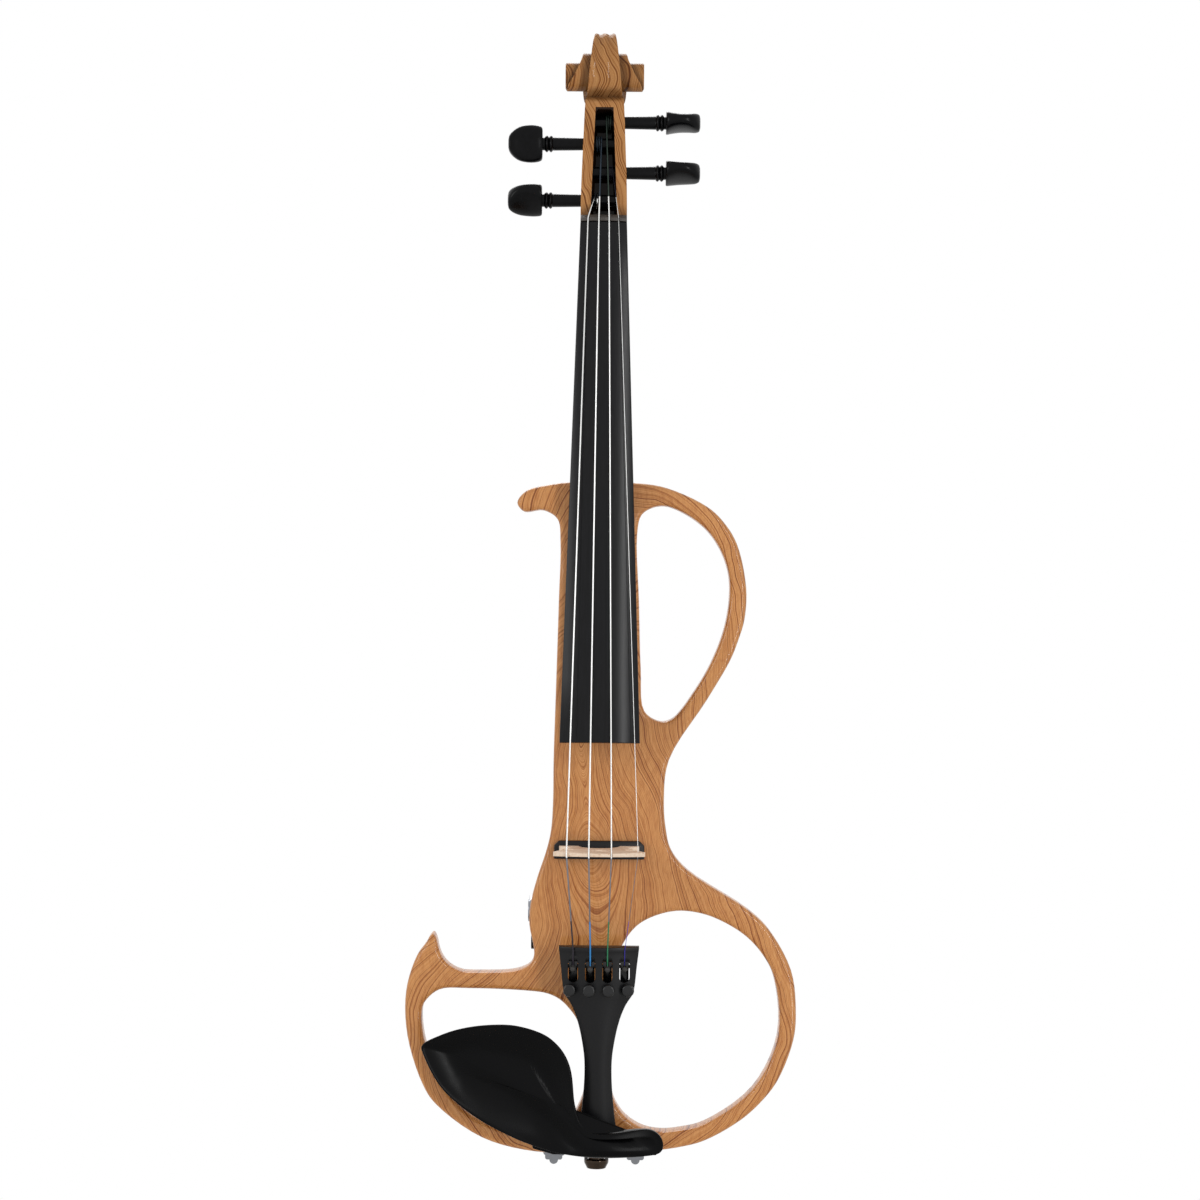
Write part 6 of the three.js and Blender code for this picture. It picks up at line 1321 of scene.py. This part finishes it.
def foot_ring(x, left, right, trim, y, grow):
    """Five-cornered section of a chinrest foot, flared to one side and upwards."""
    low_x, high_x = x - CHIN_FOOT_HALF - left * grow, x + CHIN_FOOT_HALF + right * grow
    high = CHIN_FOOT_LOW + CHIN_FOOT_LENGTH + FOOT_FLARE * grow
    return [
        (low_x, y, CHIN_FOOT_LOW + trim), (x, y, CHIN_FOOT_LOW), (high_x, y, CHIN_FOOT_LOW),
        (high_x, y, high), (low_x, y, high),
    ]


for name, x in clamp_places.items():
    shape = (FOOT_FLARE, 0, FOOT_TRIM) if name == "left" else (0, FOOT_FLARE, 0)
    foot_top = BODY_FRONT - between(BAR_UNDER, RIM_HEIGHT, 0.35)
    ends = ((CHIN_FOOT_Y, 0), (foot_top, 1))
    foot = skin(f"chin_foot_{name}", [foot_ring(x, *shape, *end) for end in ends])
    bevel(foot, 0.9, 4, 30)
    carve(chinrest, foot, operation="UNION")
    recesses.append(box_tool(
        (x - TAB_HALF - GAP, CHIN_FOOT_Y - TAB_THICKNESS - GAP, 0),
        (x + TAB_HALF + GAP, CHIN_FOOT_Y + 2, CLAMP_LINE + TAB_RISE + 0.6),
    ))
carve(chinrest, *recesses)
dress(chinrest, "chinrest", black_lacquer, 40)

# Chinrest clamps: chrome-plated studs and feet with long turning barrels between them, and cork where
# they and the chinrest meet the lacquered wood.
BARREL_RADIUS, BARREL_BORE, BARREL_LENGTH, STUD_RADIUS = 2.25, 1.5, 16, 1.2
FOOT_CORK, FOOT_HALF, FOOT_REACH = 2.2, 6, 12
bright_chrome = even_material("bright_chrome_plate", "#8B8D92", 400, 1, 0.06, 0.12, metallic=1)
look = Look("pressed_cork_sheet")
crumbs = look.add("TexVoronoi", {"Scale": 900, "Vector": look.place}, "Distance")
pressed_cork = look.done(
    look.ramp(crumbs, (0.1, "#8A5F3A"), (0.6, "#C69A6B")), 0.9, normal=look.bump(crumbs, 0.4, 0.0002)
)
BARREL_END, BARREL_MIDDLE = BODY_FRONT + BARREL_LENGTH, BODY_FRONT + BARREL_LENGTH / 2
PIN_RADIUS = 0.85
for name, x in clamp_places.items():
    for piece, node in (("cork_pad", "chinrest_cork"), ("cork_foot", "clamp_cork")):
        eased_piece(f"{piece}_{name}", f"{node}_{name}", "cork", pressed_cork)
    line = (x, BARREL_MIDDLE, CLAMP_LINE)
    tab_front = CHIN_FOOT_Y - TAB_THICKNESS
    tab_top = CLAMP_LINE + TAB_RISE
    stud = box_tool((x - TAB_HALF, tab_front, CLAMP_LINE), (x + TAB_HALF, CHIN_FOOT_Y, tab_top), 1.2)
    stud.name = f"clamp_post_{name}"
    carve(
        stud, rod_on(1, tab_front, CHIN_FOOT_Y, line, BARREL_RADIUS),
        rod_on(1, tab_front + 0.1, BODY_FRONT + BARREL_LENGTH * 0.42, line, STUD_RADIUS), operation="UNION",
    )
    dress(stud, f"clamp_stud_{name}", bright_chrome)
    barrel = rod_on(1, BODY_FRONT, BARREL_END, line, BARREL_RADIUS, sides=64)
    barrel.name = f"turning_barrel_{name}"
    bevel(barrel, 0.35, 4)
    carve(
        barrel, rod_on(1, BODY_FRONT - 2, BARREL_END + 2, line, BARREL_BORE),
        rod_on(0, x - 4, x + 4, line, PIN_RADIUS, sides=32),
    )
    dress(barrel, f"clamp_barrel_{name}", bright_chrome)
    plate_front = BODY_FRONT + FRAME_DEPTH + GAP + FOOT_CORK + GAP
    foot = box_tool(
        (x - FOOT_HALF, plate_front, CLAMP_LINE - BARREL_RADIUS),
        (x + FOOT_HALF, plate_front + TAB_THICKNESS, CLAMP_LINE + FOOT_REACH), BARREL_RADIUS - 0.05,
    )
    foot.name = f"clamp_plate_{name}"
    bevel(foot, 0.3)
    post = rod_on(1, BODY_FRONT + BARREL_LENGTH * 0.58, plate_front + 0.8, line, STUD_RADIUS)
    carve(foot, post, operation="UNION")
    dress(foot, f"clamp_foot_{name}", bright_chrome)

# Control plate: a moulded black plate screwed over the cavity in the back, with two fluted knobs and
# a sliding power switch, and the circuit board that they work below it. The zinc-plated screws have a
# soft grey shine, and the board shows the mottled green of its solder mask.
PLATE_CENTRE, CONTROL_HALF, PLATE_MARGIN, PLATE_THICK = 2, 21, 4, 2
PLATE_FRONT = BLOCK_BACK + GAP
PLATE_BACK = PLATE_FRONT + PLATE_THICK
POT_RADIUS, SCREW_HOLE, SWITCH_REACH, SWITCH_HALF = 3, 1.4, 4.8, 2.3
KNOB_RADIUS, KNOB_HEIGHT, FLUTES, FLUTE_DEPTH = 7.5, 9, 30, 0.3
knob_levels = [
    (0, 0.97, 0.4), (0.04, 1, 1), (0.45, 0.965, 1), (0.82, 0.93, 1), (0.88, 0.9, 0.6), (0.94, 0.86, 0.2),
    (0.985, 0.81, 0), (1, 0.75, 0),
]


def on_circle(x, z, radius, angle):
    return x + radius * cos(angle), z + radius * sin(angle)


def circle(spot, radius, steps=40):
    return [on_circle(spot.x, spot.z, radius, a) for a in arc(steps, tau)[:-1]]


def rounded_rectangle(left, right, low, high, radius, steps=8):
    corners = [
        (right - radius, low + radius, -90), (right - radius, high - radius, 0),
        (left + radius, high - radius, 90), (left + radius, low + radius, 180),
    ]
    return [
        on_circle(x, z, radius, radians(turn + 90 * i / steps))
        for x, z, turn in corners for i in range(steps + 1)
    ]


def middle_of(node):
    low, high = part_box(node)
    return (low + high) / 2 / MM


screw_spots = [middle_of(f"plate_screw_{i}") for i in range(1, 5)]
knob_spots = {name: middle_of(f"{name}_knob") for name in ("volume", "tone")}
switch_z = middle_of("power_switch").z
plate = rounded_plate(
    "electronics_plate",
    rounded_rectangle(
        PLATE_CENTRE - CONTROL_HALF, PLATE_CENTRE + CONTROL_HALF, CAVITY_LOW - PLATE_MARGIN,
        CAVITY_HIGH + PLATE_MARGIN, 3,
    ),
    [circle(spot, POT_RADIUS + GAP) for spot in knob_spots.values()]
    + [circle(spot, SCREW_HOLE) for spot in screw_spots]
    + [rounded_rectangle(
        PLATE_CENTRE - SWITCH_REACH, PLATE_CENTRE + SWITCH_REACH, switch_z - SWITCH_HALF,
        switch_z + SWITCH_HALF, 0.4, 3,
    )],
    PLATE_FRONT, PLATE_THICK, 0.3, 3,
)
dress(plate, "control_plate", black_moulding)
to_back = Matrix.Rotation(pi / 2, 4, "Z")
bright_steel = even_material("zinc_plated_screw_steel", "#B9BCC0", 1500, 2, 0.28, 0.42, metallic=1)
CROSS_HALF, CROSS_WIDTH, CROSS_FLOOR = 1.1, 0.22, 0.6
seat = PLATE_BACK + GAP
for i, spot in enumerate(screw_spots, 1):
    screw = turned(f"pan_head_screw_{i}", [
        (-9, 0), (-9, 0.5), (-8, 1.1), (0, 1.1), (0, 1.8), (0.45, 1.78), (0.8, 1.55), (1.05, 1.1),
        (1.2, 0.6), (1.2, 0),
    ], 40)
    put(screw, to_back, spot.x, seat, spot.z)
    carve(screw, *[
        box_tool((spot.x - wide, seat + CROSS_FLOOR, spot.z - tall), (spot.x + wide, seat + 3, spot.z + tall))
        for wide, tall in ((CROSS_HALF, CROSS_WIDTH), (CROSS_WIDTH, CROSS_HALF))
    ])
    dress(screw, f"plate_screw_{i}", bright_steel)
for name, spot in knob_spots.items():
    rings = []
    for rise, wide, flute in knob_levels:
        ring = []
        for angle in arc(FLUTES * 6, tau)[:-1]:
            radius = KNOB_RADIUS * wide - FLUTE_DEPTH * flute * (0.5 + 0.5 * cos(angle * FLUTES)) ** 2
            x, z = on_circle(spot.x, spot.z, radius, angle)
            ring.append((x, seat + rise * KNOB_HEIGHT, z))
        rings.append(ring)
    knob = skin(f"fluted_knob_{name}", rings)
    mark_floor = seat + KNOB_HEIGHT * 0.92
    carve(
        knob, rod_on(1, seat - 2, seat + KNOB_HEIGHT * 0.6, spot, POT_RADIUS + GAP),
        box_tool((spot.x - 0.3, mark_floor, spot.z + 1.5), (spot.x + 0.3, seat + 11, spot.z + 7.5)),
    )
    dress(knob, f"{name}_knob", black_moulding)
eased_piece("slide_button", "power_switch", "black_plastic", black_moulding)
look = Look("green_solder_mask")
green_mask = look.done(look.ramp(look.noise(700, 1), (0.4, "#17492F"), (0.6, "#1F5A3A")), 0.35)
eased_piece("circuit_assembly", "circuit_board", "board", green_mask, 0.15)

# Battery box: a moulded black box let into the back, with a nine-volt battery, its snap clip and a
# hinged door with finger grooves. The battery's can is lacquered dark below and golden above.
eased_piece("battery_case", "battery_box", "black_plastic", black_moulding, 0.4)
door = eased_copy("battery_lid", "battery_door", 0.4)
door_low, door_high = box_in_mm("battery_door")
GROOVE_START, GROOVE_PITCH, GROOVE_HALF, GROOVE_RADIUS, GROOVE_LIFT = 6, 2.2, 7, 0.8, 0.35
for i in range(4):
    line = (0, door_high[1] + GROOVE_LIFT, door_low[2] + GROOVE_START + i * GROOVE_PITCH)
    carve(door, rod_on(0, -GROOVE_HALF, GROOVE_HALF, line, GROOVE_RADIUS, sides=24))
dress(door, "battery_door", black_moulding)
CAN_BAND = 0.248
look = Look("lacquered_battery_can")
upper = look.math("GREATER_THAN", look.along("Z"), CAN_BAND)
printed_can = look.done(look.mixed(upper, "#2A2C30", "#A9854A"), 0.35, metallic=0.7)
eased_piece("nine_volt_battery", "battery_9v", "battery_can", printed_can)
eased_piece("snap_clip", "battery_clip", "black_plastic", black_moulding)

# Sockets in the block's left edge: a chrome output jack held by a hexagon nut in a sunk seat, and a
# small headphone socket below it.
def socket(name, node, radius, bore, bore_depth, slot, material):
    low, high = (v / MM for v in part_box(node))
    spot = (low + high) / 2
    made = rod_on(0, low.x, high.x, spot, radius, sides=64)
    made.name = name
    bevel(made, 0.4)
    carve(made, rod_on(0, low.x - 2, low.x + bore_depth, spot, bore))
    dress(made, node, material)


socket("jack_barrel", "output_jack", 5.9, 3.25, 22, "chrome", bright_chrome)
socket("phones_barrel", "headphone_jack", 3.8, 1.8, 12, "black_plastic", black_moulding)
eased_piece("hexagon_nut", "jack_nut", "chrome", bright_chrome, 0.3, 25, angle=40, segments=3)

# Floor: a pale matt studio disc below the violin. It fades out toward its edge, so that no rim shows
# against the white surround.
FLOOR_HEIGHT, FLOOR_RADIUS = -0.09, 0.65
bpy.ops.object.select_all(action="DESELECT")
bpy.ops.mesh.primitive_circle_add(
    vertices=128, radius=FLOOR_RADIUS, fill_type="NGON", location=(0, -0.3, FLOOR_HEIGHT)
)
floor = bpy.context.object
floor.name = "studio_floor"
look = Look("pale_matt_floor")
reach = look.vector("LENGTH", look.place, output="Value")
fade = look.spread(reach, 1, 0, FLOOR_RADIUS * 0.55, FLOOR_RADIUS * 0.98, interpolation_type="SMOOTHSTEP")
floor.data.materials.append(look.done("#F4F4F2", 0.9, alpha=fade))

# Studio light: an even grey surround that shows as white, and three soft lamps round the violin. The
# tall narrow one in front draws thin bright lines in the gloss lacquer.
world = bpy.data.worlds.new("white_studio")
world.use_nodes = True
world.node_tree.nodes.clear()
studio = Nodes(world.node_tree)
ray = studio.add("LightPath", {}, None).outputs
seen = studio.math("MAXIMUM", ray["Is Camera Ray"], ray["Is Glossy Ray"])
seen = studio.math("MAXIMUM", seen, ray["Is Transmission Ray"])
surround, white = [studio.add("Background", {"Color": (1, 1, 1, 1), "Strength": s}) for s in (0.5, 1)]
studio.add("OutputWorld", {"Surface": studio.add("MixShader", {0: seen, 1: surround, 2: white})}, None)
bpy.context.scene.world = world
for name, place, power, width, height in (
    ("key_lamp", (0.9, -1.35, 0.42), 8, 0.2, 1.3), ("fill_lamp", (-1.2, -0.8, 0.7), 5, 0.7, 0.7),
    ("rim_lamp", (-0.2, 0.9, 1.3), 7, 0.7, 0.7),
):
    light = bpy.data.lights.new(name, "AREA")
    light.shape = "RECTANGLE"
    light.energy = power
    light.size = width
    light.size_y = height
    lamp = linked(name, light)
    lamp.location = place
    lamp.rotation_euler = (Vector((0, 0, 0.3)) - Vector(place)).to_track_quat("-Z", "Y").to_euler()
